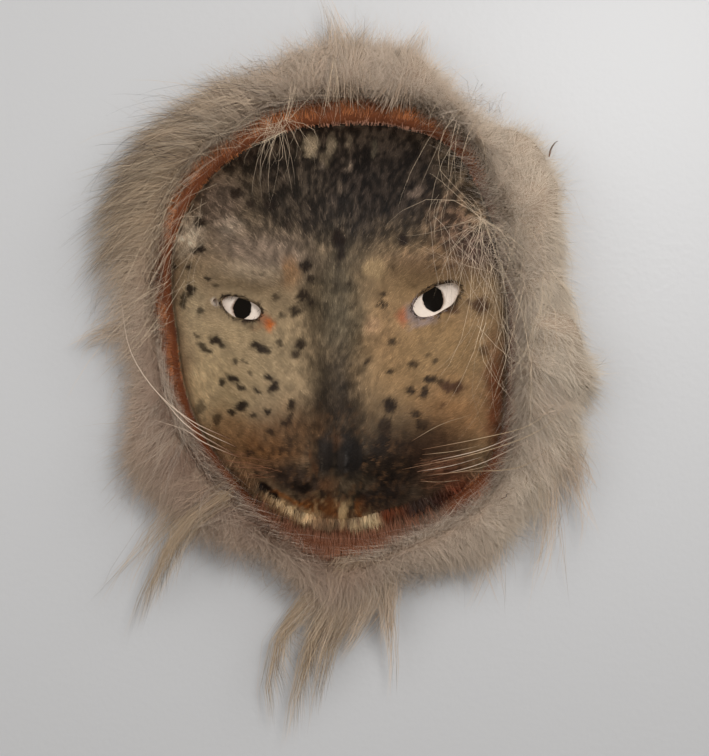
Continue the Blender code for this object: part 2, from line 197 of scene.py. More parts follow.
# Dark spots of the hide: u, v and half sizes in pixels, and how dark they are. Those of the left
# cheek lie aslant, by this many degrees.
SPOTS = (
    (198, 221, 7, 7, 0.9), (201, 249, 5, 4, 0.95), (194, 253, 4, 3, 0.95), (188, 268, 4, 4, 0.9),
    (174, 268, 3, 3, 0.9), (208, 278, 4, 3, 0.9), (216, 286, 3, 3, 0.7), (190, 290, 5, 7, 0.95),
    (183, 300, 4, 8, 0.8), (200, 310, 5, 3, 0.8), (236, 193, 6, 6, 0.9), (206, 184, 4, 3, 0.8),
    (250, 203, 5, 4, 0.7), (270, 205, 6, 5, 0.7), (288, 225, 5, 6, 0.7), (339, 238, 7, 11, 1.0),
    (342, 254, 4, 7, 0.95), (306, 267, 7, 7, 0.95), (312, 278, 4, 4, 0.8), (302, 295, 7, 7, 0.9),
    (311, 302, 4, 6, 0.85), (294, 311, 6, 7, 0.9), (276, 297, 4, 4, 0.7), (281, 315, 4, 3, 0.7),
    (252, 272, 3, 2, 0.5), (262, 274, 3, 2, 0.5), (335, 285, 2, 2, 0.5), (350, 282, 3, 4, 0.7),
    (392, 267, 4, 4, 0.5), (383, 293, 4, 3, 0.9), (384, 303, 3, 6, 0.9), (376, 307, 2, 3, 0.8),
    (403, 240, 5, 7, 0.8), (437, 268, 4, 3, 0.6), (451, 267, 4, 2, 0.6), (452, 309, 9, 5, 0.75),
    (481, 306, 9, 10, 0.8), (470, 302, 4, 4, 0.55), (436, 319, 3, 2, 0.6), (415, 285, 3, 2, 0.5),
    (430, 256, 3, 3, 0.5), (218, 342, 10, 4, 0.95), (203, 347, 7, 3, 0.85), (210, 351, 5, 2, 0.8),
    (197, 335, 4, 2, 0.7), (258, 347, 8, 5, 0.95), (267, 350, 5, 3, 0.9), (281, 344, 5, 3, 0.8),
    (300, 343, 5, 6, 0.9), (296, 355, 5, 6, 0.85), (235, 361, 3, 3, 0.8), (244, 361, 3, 2, 0.7),
    (232, 378, 8, 3, 0.95), (222, 382, 4, 4, 0.9), (240, 387, 7, 3, 0.9), (268, 378, 5, 4, 0.95),
    (274, 386, 5, 8, 0.95), (257, 390, 6, 3, 0.9), (251, 373, 3, 2, 0.7), (242, 405, 6, 7, 0.95),
    (231, 412, 5, 4, 0.9), (268, 412, 5, 4, 0.95), (253, 415, 3, 2, 0.8), (291, 405, 4, 6, 0.9),
    (290, 418, 3, 6, 0.85), (217, 420, 4, 7, 0.7), (200, 408, 5, 8, 0.6), (285, 424, 4, 3, 0.8),
    (270, 432, 6, 2, 0.8), (250, 453, 5, 4, 0.8), (393, 342, 5, 3, 0.8), (367, 361, 3, 5, 0.8),
    (413, 364, 6, 5, 0.85), (392, 372, 3, 3, 0.9), (429, 355, 2, 2, 0.7), (435, 361, 3, 2, 0.7),
    (430, 379, 9, 4, 0.95), (440, 383, 5, 4, 0.8), (452, 387, 14, 7, 0.85), (411, 391, 6, 5, 0.9),
    (425, 392, 4, 7, 0.9), (390, 405, 9, 8, 0.95), (417, 414, 6, 4, 0.85), (422, 425, 8, 5, 0.8),
    (442, 406, 2, 4, 0.5), (485, 350, 5, 6, 0.55), (385, 425, 8, 8, 0.8), (265, 487, 8, 4, 1.0),
    (275, 496, 8, 4, 1.0), (305, 488, 8, 6, 1.0), (296, 485, 5, 5, 0.7), (283, 476, 6, 3, 0.5),
)
SPOT_TILT = 26.0

# Colours of the hide, laid over one another in order: u, v and half sizes in pixels, tilt in
# degrees, sRGB colour and strength
HIDE_BASE = (150, 134, 108)
HIDE_PATCHES = (
    (425, 350, 85, 110, 0, (144, 120, 86), 0.9),
    (455, 420, 45, 40, 0, (146, 112, 76), 0.7),
    (440, 350, 40, 26, 0, (144, 122, 88), 0.6),
    (245, 350, 70, 60, 0, (160, 146, 116), 0.75),
    (218, 395, 34, 40, 0, (172, 154, 118), 0.6),
    (236, 436, 46, 24, 20, (146, 112, 74), 0.65),
    (330, 150, 200, 70, 0, (43, 37, 31), 0.98),
    (330, 205, 130, 48, 0, (40, 35, 30), 0.9),
    (395, 185, 80, 62, 0, (36, 31, 27), 0.85),
    (262, 252, 72, 24, 10, (124, 112, 100), 0.85),
    (215, 205, 30, 26, -45, (102, 90, 80), 0.75),
    (300, 178, 26, 26, 0, (60, 54, 46), 0.6),
    (455, 235, 30, 40, 0, (84, 66, 54), 0.75),
    (430, 262, 50, 16, 0, (122, 100, 76), 0.7),
    (335, 235, 36, 42, 0, (56, 50, 44), 0.8),
    (338, 300, 30, 62, 0, (88, 81, 66), 0.95),
    (345, 330, 26, 34, 0, (104, 97, 80), 0.6),
    (315, 310, 12, 40, 0, (76, 68, 54), 0.6),
    (382, 330, 16, 34, 0, (148, 124, 92), 0.6),
    (334, 388, 26, 50, 0, (56, 50, 42), 0.85),
    (336, 425, 40, 40, 0, (44, 37, 30), 0.9),
    (290, 440, 34, 34, 0, (98, 72, 48), 0.8),
    (262, 458, 40, 24, 25, (126, 88, 52), 0.75),
    (395, 460, 58, 50, 0, (33, 25, 19), 0.98),
    (440, 450, 34, 30, 0, (62, 44, 32), 0.8),
    (376, 500, 52, 18, -14, (46, 40, 38), 0.95),
    (300, 482, 44, 17, 16, (66, 54, 46), 0.95),
    (450, 478, 26, 18, -20, (88, 54, 38), 0.8),
    (187, 236, 14, 21, 20, (206, 196, 176), 0.9),
    (181, 250, 9, 9, 0, (190, 178, 154), 0.75),
    (228, 226, 14, 9, 0, (160, 148, 132), 0.7),
    (190, 340, 14, 60, 0, (164, 152, 122), 0.5),
    (322, 162, 4, 9, 10, (118, 108, 96), 0.7),
    (350, 168, 4, 9, 0, (104, 94, 82), 0.6),
    (326, 250, 9, 7, 20, (142, 128, 106), 0.8),
    (289, 272, 9, 14, 0, (138, 104, 66), 0.7),
    (252, 272, 32, 11, 6, (172, 160, 138), 0.65),
    (268, 326, 7, 6, 0, (200, 112, 48), 0.9),
    (262, 320, 10, 7, 30, (146, 72, 36), 0.6),
    (403, 317, 6, 7, 0, (178, 102, 72), 0.65),
    (413, 314, 6, 11, -30, (146, 136, 136), 0.75),
    (424, 324, 14, 4, -12, (142, 132, 134), 0.7),
    (372, 326, 8, 9, 0, (176, 148, 118), 0.6),
    (318, 512, 44, 13, 0, (118, 74, 38), 0.92),
    (290, 500, 24, 3, 24, (150, 98, 50), 0.8),
    (312, 504, 10, 8, 0, (140, 88, 44), 0.7),
    (343, 516, 4, 15, 0, (222, 196, 150), 0.97),
    (352, 502, 8, 12, 0, (62, 58, 46), 0.8),
    (369, 524, 8, 7, 0, (222, 206, 168), 0.97),
    (362, 508, 5, 10, 0, (128, 84, 50), 0.5),
    (384, 520, 14, 8, -20, (108, 52, 28), 0.8),
    (326, 482, 9, 8, 0, (120, 86, 58), 0.6),
    (338, 458, 26, 26, 0, (38, 33, 28), 0.95),
    (338, 438, 5, 6, 0, (90, 66, 46), 0.5),
    (315, 464, 2.5, 15, -20, (80, 58, 42), 0.5),
    (180, 390, 10, 50, 12, (130, 86, 56), 0.6),
    (496, 400, 12, 60, 0, (118, 70, 46), 0.85),
    (484, 250, 30, 24, 0, (84, 68, 66), 0.8),
    (425, 508, 44, 14, -22, (56, 42, 38), 0.95),
    (470, 488, 30, 12, -25, (116, 60, 38), 0.9),
    (240, 488, 22, 16, 35, (104, 74, 48), 0.85),
    (272, 506, 24, 6, 30, (150, 118, 78), 0.7),
    (345, 536, 62, 8, 0, (138, 82, 56), 0.9),
    (256, 303, 6, 5, 0, (60, 44, 34), 0.7),
    (226, 304, 5, 5, 0, (74, 58, 46), 0.6),
    (246, 322, 14, 3, 14, (52, 38, 30), 0.7),
    # The next two rows paint the left cheek's pale cream lighter still: painted light against the
    # shade where the face turns away at its left edge
    (196, 392, 20, 54, 12, (222, 204, 164), 0.75),
    (188, 322, 13, 44, 0, (200, 186, 154), 0.6),
    (290, 511, 19, 5, 22, (222, 204, 164), 0.97),
    (308, 517, 13, 5, 4, (216, 196, 156), 0.9),
    (286, 499, 26, 3, 26, (146, 92, 44), 0.8),
    (320, 506, 9, 8, 0, (118, 80, 48), 0.5),
    (371, 525, 10, 7, -8, (218, 202, 162), 0.95),
    (392, 516, 14, 5, -20, (118, 60, 30), 0.85),
)
# Marks with sharper edges, in the same columns: pale patches, the nose's lobes and creases, and
# painted highlights down the nose's lobes
SHARP_MARKS = (
    (215.5, 302.5, 4.2, 4.6, 0, (214, 206, 192), 0.9),
    (374, 268, 12, 11, 0, (178, 158, 122), 0.85),
    (311, 146, 8, 11, 0, (162, 150, 126), 0.85),
    (331, 147, 5, 13, 8, (136, 126, 106), 0.75),
    (324, 160, 4, 9, -20, (112, 102, 84), 0.6),
    (349, 142, 3, 9, 0, (116, 106, 90), 0.6),
    (374, 150, 3, 9, 6, (104, 98, 84), 0.5),
    (416, 192, 10, 5, -32, (132, 118, 106), 0.6),
    (338, 256, 4, 16, -4, (40, 34, 28), 0.7),
    (405, 240, 7, 6, 0, (44, 36, 30), 0.8),
    (340, 186, 3, 8, 0, (122, 110, 96), 0.5),
    (324, 455, 9, 22, 3, (44, 40, 37), 0.9),
    (353, 456, 11, 23, -4, (33, 31, 30), 0.9),
    (340, 462, 5, 15, 0, (52, 48, 45), 0.85),
    (336, 442, 3, 9, 4, (84, 62, 46), 0.55),
    # Two thin pale lines down the crests of the nose's lobes: painted highlights
    (321, 466, 1.5, 12, -8, (98, 92, 82), 0.55),
    (346, 462, 1.1, 12, 3, (86, 85, 84), 0.55),
    (312, 462, 1.8, 15, -16, (104, 72, 48), 0.55),
    (327, 486, 8, 6, 0, (150, 110, 76), 0.4),
    (343, 514, 4, 13, 4, (224, 200, 154), 0.95),
    (355, 528, 5, 5, 0, (216, 196, 156), 0.9),
    (358, 510, 3, 11, -6, (146, 94, 50), 0.7),
    (330, 504, 5, 10, 0, (132, 84, 44), 0.6),
)
PATCH_SOFT, MARK_SOFT = 0.55, 0.3

# How painted outlines wander: how far and how wide in pixels, and the seeds for u and v
PATCH_WAVES = ((4.0, 11.0, 21, 23), (1.6, 3.6, 22, 24))
MARK_WAVES = ((2.2, 4.0, 41, 42),)

# Layers of noise in the hide's hair: strength, size in both directions and seed
STREAKS = ((1.0, 0.8, 5.0, 31), (0.6, 2.4, 10.0, 32))
STREAK_BREAKS = (0.6, 5.0, 7.0, 35)
MOTTLE = ((1.0, 2.8, 4.4, 33), (0.7, 8.0, 9.0, 34))
MUZZLE_MOTTLE = (0.8, 2.4, 3.4, 36)

# Parts of the face in pixels: u, v and half sizes
DARK_BAND = (336, 350, 46, 130)
PALE_BROW = (218, 218, 55, 45)
MUZZLE = (318, 474, 92, 60)
NOSE = (338, 452, 22, 28)
BARE_NOSE = (333, 457, 24, 24)
CHIN = (322, 508, 52, 14)
BETWEEN_EYES = (336, 330)
BROW_LINE, BROW_FADE = 275, 50
MUZZLE_LINE, MUZZLE_FADE = 425, 40

# What the photograph's dim, warm light leaves of red, green and blue
WARMTH = (0.95, 0.84, 0.77)
HIDE_GLOW = 1.12
# Colours, sRGB
SPOT_BLACK = (34, 25, 19)
SPOT_BROWN = (62, 38, 30)
MUZZLE_RUST, MUZZLE_BLACK = (136, 104, 74), (34, 27, 22)
CHIN_CREAM, CHIN_DARK = (206, 178, 132), (66, 44, 28)
LID_BLACK = (36, 26, 20)
RUFF_DEEP = (176, 163, 147)
RUFF_MID = (203, 192, 177)
RUFF_TIP = (222, 213, 200)
GUARD_PALE = (196, 184, 162)
GUARD_GREY = (176, 165, 150)
GUARD_RUST = (124, 86, 62)
GUARD_DARK = (52, 45, 40)
TRIM_DEEP = (112, 64, 36)
TRIM_BRIGHT = (214, 136, 76)
TRIM_DULL = (98, 60, 38)
TRIM_GREY = (160, 116, 92)
TRIM_LOST = (146, 128, 112)
TRIM_PINK = (222, 172, 146)
WHISKER_PALE = (226, 214, 196)
WHISKER_CREAM = (190, 172, 142)
WHISKER_BROWN = (122, 78, 48)
CHIN_RED = (154, 108, 84)
LASH_GREY = (172, 162, 164)
EYE_WHITE = (240, 236, 228)
EYE_STAIN = (120, 84, 52)
RAW_SKIN = (190, 168, 132)
# What the upper left fur's olive tinge leaves of red, green and blue
OLIVE_SHADE = (0.86, 0.81, 0.68)
# What the light adds to them at the right
RIGHT_GLOW = (0.14, 0.22, 0.24)
# What the lower left wool's brown and painted shade, and the red beside the trim there, take from
# them
BROWN_AND_SHADE_LOSS = (0.26, 0.31, 0.34)
RED_LOSS = (0.30, 0.42, 0.46)

# Materials: roughness, the grain's scale and depth, bump, sheen and specular level
MATERIALS = {
    "ruff_hairs": (0.65, 300.0, 0.08, 0.0, 0.0, 0.2),
    "hide_hair": (0.55, 700.0, 0.08, 0.0, 0.0, 0.14),
    "hide_under_hair": (0.72, 900.0, 0.22, 0.25, 0.0, 0.1),
    "raw_skin": (0.62, 260.0, 0.12, 0.35, 0.0, 0.3),
    "eye_leather_left": (0.6, 1500.0, 0.06, 0.25, 0.0, 0.3),
    "eye_leather_right": (0.6, 1500.0, 0.06, 0.25, 0.0, 0.3),
    "trim_wool": (0.9, 900.0, 0.3, 0.6, 0.0, 0.3),
    "trim_hairs": (0.6, 500.0, 0.1, 0.0, 0.15, 0.3),
    "backing_skin": (0.65, 300.0, 0.12, 0.3, 0.0, 0.3),
    "wool_body": (0.95, 900.0, 0.12, 0.5, 0.0, 0.05),
    "whisker_bristle": (0.35, 400.0, 0.12, 0.0, 0.0, 0.5),
}
ROUGH_SPREAD = 0.08
SHEEN_ROUGHNESS = 0.5
GRAIN_HIGH = 0.0006

# Grids of the meshes
FACE_RINGS, FLANGE_RINGS, RIM_CROWDING = 56, 6, 1.25
PATCH_TURNS, PATCH_ROWS = 96, 14
TRIM_STATIONS, TRIM_ARC = 220, 9
BAND_STATIONS = 240
WOOL_STATIONS, WOOL_ROWS = 300, 20

# Coats of short hair on the hide: hairs, longest and width in mm, steps along a hair, and seed
FACE_COATS = {
    "face_undercoat": (150000, 3.2, 0.30, (0.0, 1.0), 5),
    "face_hair": (16000, 4.6, 0.18, (0.0, 0.5, 1.0), 6),
}
TRIM_HAIRS, TRIM_STEPS = 14000, (0.0, 0.35, 0.7, 1.0)
# The ruff by quarters from the top: soft hairs of its wool, and locks of long hair
RUFF_QUARTERS = ((40000, 60), (38000, 80), (34000, 130), (20000, 480))
LOCK_HAIRS = 20
HAIR_STEPS = (0.0, 0.28, 0.55, 0.8, 1.0)
INNER_HAIRS = 9000
TAIL_STRANDS = 7
LASHES = (("left", 130), ("right", 190))
CHIN_HAIRS = 3800
WALL_CLEAR = 0.6
# How far hair may go beyond the solids: a share of their size, and more, in mm
FARTHEST_SHARE, FARTHEST_MORE = 0.03, 9.0
AHEAD = np.array([0.0, -1.0, 0.0])
DOWN = np.array([0.0, 0.0, -1.0])

THIN_OUT = 1.0
THICKEN = 1.0

# Long tufts, in mm from the face's centre: root, middle and tip, the spread at the root and at
# the tip, hairs, and how olive they are
TUFTS = {
    "centre_fan_1": ((4, -13, -127), (-14, -24, -146), (-31, -12, -166), 7, 4.0, 420, 0.6),
    "centre_fan_2": ((8, -13, -127), (-4, -24, -152), (-20, -12, -178), 9, 4.0, 560, 0.6),
    "centre_fan_3": ((16, -13, -127), (14, -24, -150), (-4, -12, -174), 9, 5.0, 560, 0.5),
    "centre_fan_4": ((21, -13, -127), (30, -24, -140), (14, -12, -164), 8, 5.0, 420, 0.3),
    "centre_strand_1": ((8, -12, -128), (-50, -20, -158), (-39, -8, -218), 5, 1.2, 170, 0.8),
    "centre_strand_2": ((12, -12, -128), (-26, -20, -166), (-29, -8, -230), 5, 1.3, 220, 0.8),
    "centre_strand_3": ((16, -12, -130), (-13, -20, -172), (-15, -8, -218), 5, 1.2, 120, 0.8),
    "centre_wisp": ((22, -12, -129), (31, -18, -158), (28, -8, -202), 5, 1.5, 50, 0.4),
    "lower_left": ((-63, -22, -88), (-98, -30, -106), (-116, -8, -168), 4, 2.4, 170, 0.8),
    "lower_left_wisp": ((-72, -18, -88), (-106, -26, -110), (-120, -8, -148), 12, 7.0, 110, 0.7),
    "lower_left_lock": ((-62, -22, -90), (-88, -28, -104), (-106, -8, -150), 5, 3.0, 80, 0.8),
    "lower_right": ((112, -16, -66), (124, -18, -104), (108, -8, -142), 9, 6.0, 80, 0.2),
    "right_notch": ((120, -16, -62), (134, -18, -80), (130, -8, -98), 11, 6.0, 180, 0.1),
    "bottom_right": ((80, -16, -100), (88, -18, -124), (84, -8, -146), 10, 6.0, 90, 0.2),
    "side_left": ((-112, -12, 4), (-132, -14, 4), (-144, -6, -8), 9, 5.0, 120, 0.2),
    "top": ((2, -16, 136), (2, -20, 154), (-4, -8, 168), 14, 8.0, 640, 0.3),
    "top_right": ((30, -18, 132), (38, -22, 150), (42, -8, 160), 14, 8.0, 360, 0.1),
}

# Loose guard hairs, in pixels: root, middle and tip, how far each of them stands out in mm, how
# many hairs, how far their roots lie apart and their tips fan out, and their colour
STRAYS = (
    ((281, 120), (286, 144), (290, 190), (44, 48, 42), 16, 10, 50, GUARD_PALE),
    ((280, 124), (262, 144), (256, 184), (44, 48, 42), 12, 10, 40, GUARD_PALE),
    ((284, 130), (262, 138), (232, 146), (46, 46, 42), 8, 5, 14, GUARD_PALE),
    ((288, 120), (292, 92), (304, 62), (44, 44, 36), 10, 5, 22, GUARD_PALE),
    ((272, 128), (240, 120), (206, 150), (44, 46, 40), 10, 5, 26, GUARD_PALE),
    ((330, 60), (332, 94), (328, 128), (40, 42, 36), 5, 6, 12, GUARD_PALE),
    ((482, 219), (464, 240), (446, 278), (54, 56, 46), 8, 4, 46, GUARD_PALE),
    ((482, 219), (486, 262), (488, 330), (54, 56, 48), 9, 4, 50, GUARD_PALE),
    ((482, 219), (514, 232), (532, 290), (54, 56, 46), 14, 4, 40, GUARD_PALE),
    ((482, 219), (456, 208), (430, 222), (54, 52, 44), 10, 4, 50, GUARD_PALE),
    ((482, 219), (476, 196), (452, 176), (54, 52, 46), 7, 4, 44, GUARD_PALE),
    ((486, 271), (440, 262), (374, 223), (54, 50, 44), 2, 3, 5, GUARD_PALE),
    ((446, 196), (430, 222), (442, 254), (48, 48, 42), 5, 8, 14, GUARD_PALE),
    ((500, 250), (510, 320), (494, 392), (56, 58, 48), 22, 34, 60, GUARD_PALE),
    ((530, 280), (540, 350), (508, 428), (48, 50, 40), 22, 34, 60, GUARD_PALE),
    ((500, 320), (516, 372), (548, 402), (50, 50, 40), 14, 24, 40, GUARD_PALE),
    ((545, 190), (576, 270), (550, 330), (34, 34, 24), 6, 16, 20, GUARD_PALE),
    ((470, 120), (448, 165), (456, 214), (48, 50, 44), 18, 24, 44, GUARD_PALE),
    ((470, 240), (486, 256), (504, 284), (48, 50, 42), 60, 34, 44, GUARD_GREY),
    ((530, 220), (548, 240), (552, 284), (38, 40, 30), 5, 10, 14, GUARD_PALE),
    ((556, 214), (580, 206), (604, 194), (26, 22, 10), 6, 10, 12, GUARD_PALE),
    ((186, 120), (150, 110), (112, 132), (36, 30, 14), 48, 44, 40, GUARD_DARK),
    ((160, 160), (120, 168), (92, 204), (34, 28, 12), 44, 44, 40, GUARD_DARK),
    ((250, 84), (206, 74), (168, 96), (34, 28, 14), 40, 40, 36, GUARD_DARK),
    ((240, 96), (196, 92), (150, 118), (38, 32, 18), 40, 44, 44, GUARD_PALE),
    ((170, 210), (136, 244), (108, 300), (34, 26, 12), 60, 44, 44, GUARD_PALE),
    ((160, 300), (126, 340), (100, 372), (32, 26, 12), 30, 36, 30, GUARD_PALE),
    ((268, 470), (236, 466), (206, 462), (52, 50, 40), 14, 10, 14, GUARD_RUST),
    ((250, 460), (226, 456), (196, 446), (48, 44, 38), 8, 10, 14, GUARD_RUST),
    ((424, 470), (452, 466), (484, 456), (52, 50, 44), 22, 14, 14, GUARD_RUST),
    ((545, 470), (548, 530), (528, 586), (28, 22, 10), 26, 24, 30, GUARD_PALE),
    ((508, 520), (506, 560), (494, 596), (28, 22, 10), 20, 20, 22, GUARD_PALE),
    ((570, 440), (590, 470), (584, 510), (24, 20, 10), 12, 16, 22, GUARD_PALE),
    ((345, 66), (338, 44), (334, 30), (26, 18, 8), 30, 34, 30, GUARD_PALE),
    ((384, 560), (400, 600), (392, 640), (26, 20, 8), 12, 12, 14, GUARD_PALE),
)

# Whiskers, in pixels along each one from its root, with its radius in mm and its colour
WHISKERS = (
    (((232, 440), (190, 420), (155, 390), (130, 350), (121, 300)), 0.42, WHISKER_PALE),
    (((234, 454), (190, 428), (168, 405), (155, 390)), 0.42, WHISKER_PALE),
    (((240, 458), (205, 443), (185, 430), (155, 420)), 0.36, WHISKER_PALE),
    (((238, 448), (196, 427), (165, 398)), 0.34, WHISKER_PALE),
    (((260, 462), (230, 462), (200, 460)), 0.2, WHISKER_BROWN),
    (((270, 468), (238, 467), (205, 463)), 0.2, WHISKER_BROWN),
    (((270, 478), (250, 474), (230, 468)), 0.2, WHISKER_BROWN),
    (((420, 450), (482, 438), (530, 425), (560, 400)), 0.3, WHISKER_CREAM),
    (((420, 455), (455, 451), (482, 445)), 0.24, WHISKER_CREAM),
    (((400, 470), (482, 452), (540, 430), (570, 400)), 0.3, WHISKER_CREAM),
    (((415, 472), (450, 466), (482, 457)), 0.3, WHISKER_PALE),
    (((440, 475), (482, 463), (530, 440)), 0.34, WHISKER_PALE),
    (((455, 472), (520, 467), (560, 440)), 0.3, WHISKER_CREAM),
    (((418, 481), (440, 482), (460, 480)), 0.22, WHISKER_CREAM),
    (((410, 442), (440, 425), (470, 415)), 0.2, WHISKER_CREAM),
    (((428, 462), (480, 450), (524, 432)), 0.34, WHISKER_PALE),
    (((424, 476), (470, 470), (516, 458)), 0.26, WHISKER_CREAM),
)

# Two dry stalks caught in the fur, in the same way, with how far they stand out in mm
STALKS = (
    (((549, 157), (551, 149), (555, 143), (558, 141)), 0.75, 24.0, (98, 82, 66)),
    (((501, 499), (506, 497), (507, 494), (512, 494)), 0.5, 27.0, (60, 52, 44)),
)

# Lamps: place and target in metres, size in metres and power in watts
LAMPS = {
    "key": ((0.32, -0.95, 0.22), (0.02, 0, -0.12), 0.3, 5.7),
    "fill": ((-0.8, -1.0, 0.0), (0, 0, -0.12), 0.9, 4.2),
    "rim": ((0.9, -0.6, 0.5), (0, 0, -0.1), 0.5, 2.7),
}
SKY_COLOUR, SKY_STRENGTH = (1.0, 0.99, 0.97, 1), 0.31
# The wall's paint, and painted shadow on it: how far from the face's centre in metres it is
# painted dark, as shade where the mask covers it and it is seen through the pupils
WALL_PALE, WALL_PAINTED_SHADOW = (0.58, 0.575, 0.575, 1), (0.004, 0.003, 0.003, 1)
PAINTED_SHADOW_WITHIN, PALE_BEYOND = 0.084, 0.094
STAGE = {
    "backdrop": ((0, 0.002, -0.1), math.radians(90)),
    "floor": ((0, -1.0, -1.1), 0.0),
}
STAGE_SIZE = 4


def linear(colour):
    """A colour as it looks in the photograph, from sRGB to linear, with its light's warmth."""
    c = np.asarray(colour, float) / 255.0
    c = np.where(c <= 0.04045, c / 12.92, ((c + 0.055) / 1.055) ** 2.4)
    return c * np.array(WARMTH)


def toward(tone, colour, share):
    """Tones moved towards an sRGB colour by a share at each point."""
    share = share[..., None]
    return tone * (1 - share) + linear(colour) * share


def unit(vectors):
    return vectors / np.maximum(np.linalg.norm(vectors, axis=-1, keepdims=True), 1e-9)


def xyz(x, y, z):
    """Rows of x, y and z."""
    return np.stack(np.broadcast_arrays(x, y, z), axis=-1)


def spline(a, b, c, d, t):
    """A smooth curve from b to c that heads the way of its neighbours a and d."""
    return 0.5 * (
        2 * b + (c - a) * t + (2 * a - 5 * b + 4 * c - d) * t**2 + (3 * b - a - 3 * c + d) * t**3
    )


def noise(a, b, seed):
    """Smooth noise of -1 to 1 on a lattice of unit squares."""
    table = np.random.default_rng(seed).uniform(-1, 1, (64, 64))
    a, b = np.asarray(a, float), np.asarray(b, float)
    ia, ib = np.floor(a).astype(int), np.floor(b).astype(int)
    fa, fb = a - ia, b - ib
    fa, fb = fa * fa * (3 - 2 * fa), fb * fb * (3 - 2 * fb)
    low = table[ia % 64, ib % 64] * (1 - fa) + table[(ia + 1) % 64, ib % 64] * fa
    high = table[ia % 64, (ib + 1) % 64] * (1 - fa) + table[(ia + 1) % 64, (ib + 1) % 64] * fa
    return low * (1 - fb) + high * fb


def layered(a, b, *layers):
    return sum(strength * noise(a / wide, b / high, seed) for strength, wide, high, seed in layers)


def rim(column, bearing):
    """A column of RIM at any bearings, on a smooth closed curve through its rows."""
    values = np.array([row[RIM_COLUMNS.index(column)] for row in RIM], float)
    place = np.asarray(bearing, float) % 360.0 / 360.0 * len(values)
    first = np.floor(place).astype(int)
    return spline(*(values[(first + k) % len(values)] for k in (-1, 0, 1, 2)), place - first)


def lip_at(bearing):
    """Where the ruff begins, just outside the trim."""
    return rim("hide", bearing) + rim("trim", bearing) + RUFF_CLEAR


def stretch(name, bearing):
    """How far bearings belong to a stretch of the rim, from 0 to 1."""
    middle, half, level = STRETCHES[name]
    return np.clip(level - np.abs(bearing - middle) / half, 0, 1)


def at_right(bearing):
    return np.clip(np.sin(np.radians(bearing)), 0, 1)


def polar(x, z):
    return np.degrees(np.arctan2(x, z)), np.hypot(x, z)


def across(bearing, radius):
    angle = np.radians(bearing)
    return radius * np.sin(angle), radius * np.cos(angle)


def at_rim(bearing, radius, y, drop=0.0):
    x, z = across(bearing, radius)
    return xyz(x, y, z - drop)


def swellings(table, x, z):
    total = 0.0
    for cx, cz, half_x, half_z, lift in table.values():
        away = ((x - cx) / half_x) ** 2 + ((z - cz) / half_z) ** 2
        total = total + lift * np.exp(-(away**SWELL))
    return total


def face_height(x, z, fine=True):
    """How far the face's outer surface stands out from the back plane, in mm."""
    bearing, radius = polar(x, z)
    s = np.minimum(radius / rim("hide", bearing), 1.0)
    height = DOME * (1.0 - s**DOME_SQUARE) ** DOME_ROUND
    height = height + (1.0 - s**6) * swellings(RELIEF, x, z)
    if fine:
        height = height + (1.0 - s**6) * (swellings(FINE_RELIEF, x, z) + eyelids(x, z))
        height = height + 0.35 * (1.0 - s**8) * noise(x / 9.0, z / 9.0, 11)
    return FLANGE_FRONT + height


def face_normal(x, z):
    """Unit normals of the face's outer surface, pointing out of the face."""
    step = 0.6
    slope_x = (face_height(x + step, z) - face_height(x - step, z)) / (2 * step)
    slope_z = (face_height(x, z + step) - face_height(x, z - step)) / (2 * step)
    return unit(xyz(-slope_x, -1.0, -slope_z))


def beyond_hide(x, z):
    bearing, radius = polar(x, z)
    return radius > rim("hide", bearing)


def from_photo(u, v, stand):
    """The front view's x and z of a pixel, for what stands out that far from the wall."""
    scale = MM_PER_PX * (1.0 - np.asarray(stand, float) / CAMERA_FAR)
    return CAMERA_X + (u - PHOTO_WIDE / 2) * scale, CAMERA_Z - (v - PHOTO_HIGH / 2) * scale


def on_face(u, v):
    """The front view's x and z of a pixel that shows the face."""
    x, z = from_photo(u, v, 30.0)
    for _ in range(3):
        x, z = from_photo(u, v, face_height(x, z, fine=False))
    return x, z


def to_photo(x, z, stand):
    """The pixel at which a point shows."""
    scale = MM_PER_PX * (1.0 - np.asarray(stand, float) / CAMERA_FAR)
    return PHOTO_WIDE / 2 + (x - CAMERA_X) / scale, PHOTO_HIGH / 2 - (z - CAMERA_Z) / scale


def eye_loop(side):
    """An eye opening's outline: a smooth closed curve through its points."""
    p = np.array(EYES[side]["outline"], float)
    t = np.linspace(0, 1, 8, endpoint=False)[:, None]
    rows = [spline(*(p[(k + n) % len(p)] for n in (-1, 0, 1, 2)), t) for k in range(len(p))]
    return np.vstack(rows) + np.array(EYES[side]["pupil"])


def pinhole_loop():
    turn = np.linspace(0, 2 * np.pi, 16, endpoint=False)
    x, z = PINHOLE["centre"]
    wide, high = PINHOLE["half_width"], PINHOLE["half_height"]
    return np.stack([x + wide * np.sin(turn), z + high * np.cos(turn)], axis=1)


def outside(loop, x, z):
    """Distance of points from a closed outline in mm, negative inside it."""
    p = np.stack([np.ravel(x), np.ravel(z)], axis=1)
    best = np.full(len(p), 1e9)
    inside = np.zeros(len(p), bool)
    for a, b in zip(loop, np.roll(loop, -1, axis=0)):
        along = b - a
        t = np.clip((p - a) @ along / max(along @ along, 1e-9), 0, 1)
        best = np.minimum(best, np.hypot(*(p - a - t[:, None] * along).T))
        crosses = (a[1] > p[:, 1]) != (b[1] > p[:, 1])
        if crosses.any() and a[1] != b[1]:
            at = a[0] + (p[:, 1] - a[1]) / (b[1] - a[1]) * (b[0] - a[0])
            inside ^= crosses & (p[:, 0] < at)
    return np.where(inside, -best, best).reshape(np.shape(x))


def eye_distance(x, z):
    """Distance from the nearest eye opening or the pinhole, in mm, negative inside one. Far from
    them it is a lower bound."""
    best = np.full(np.shape(x), FAR_FROM_EYES)
    for loop in (eye_loop("left"), eye_loop("right"), pinhole_loop()):
        centre = loop.mean(axis=0)
        size = np.hypot(*(loop - centre).T).max()
        near = np.hypot(x - centre[0], z - centre[1]) < size + FAR_FROM_EYES
        best[near] = np.minimum(best[near], outside(loop, x[near], z[near]))
    return best


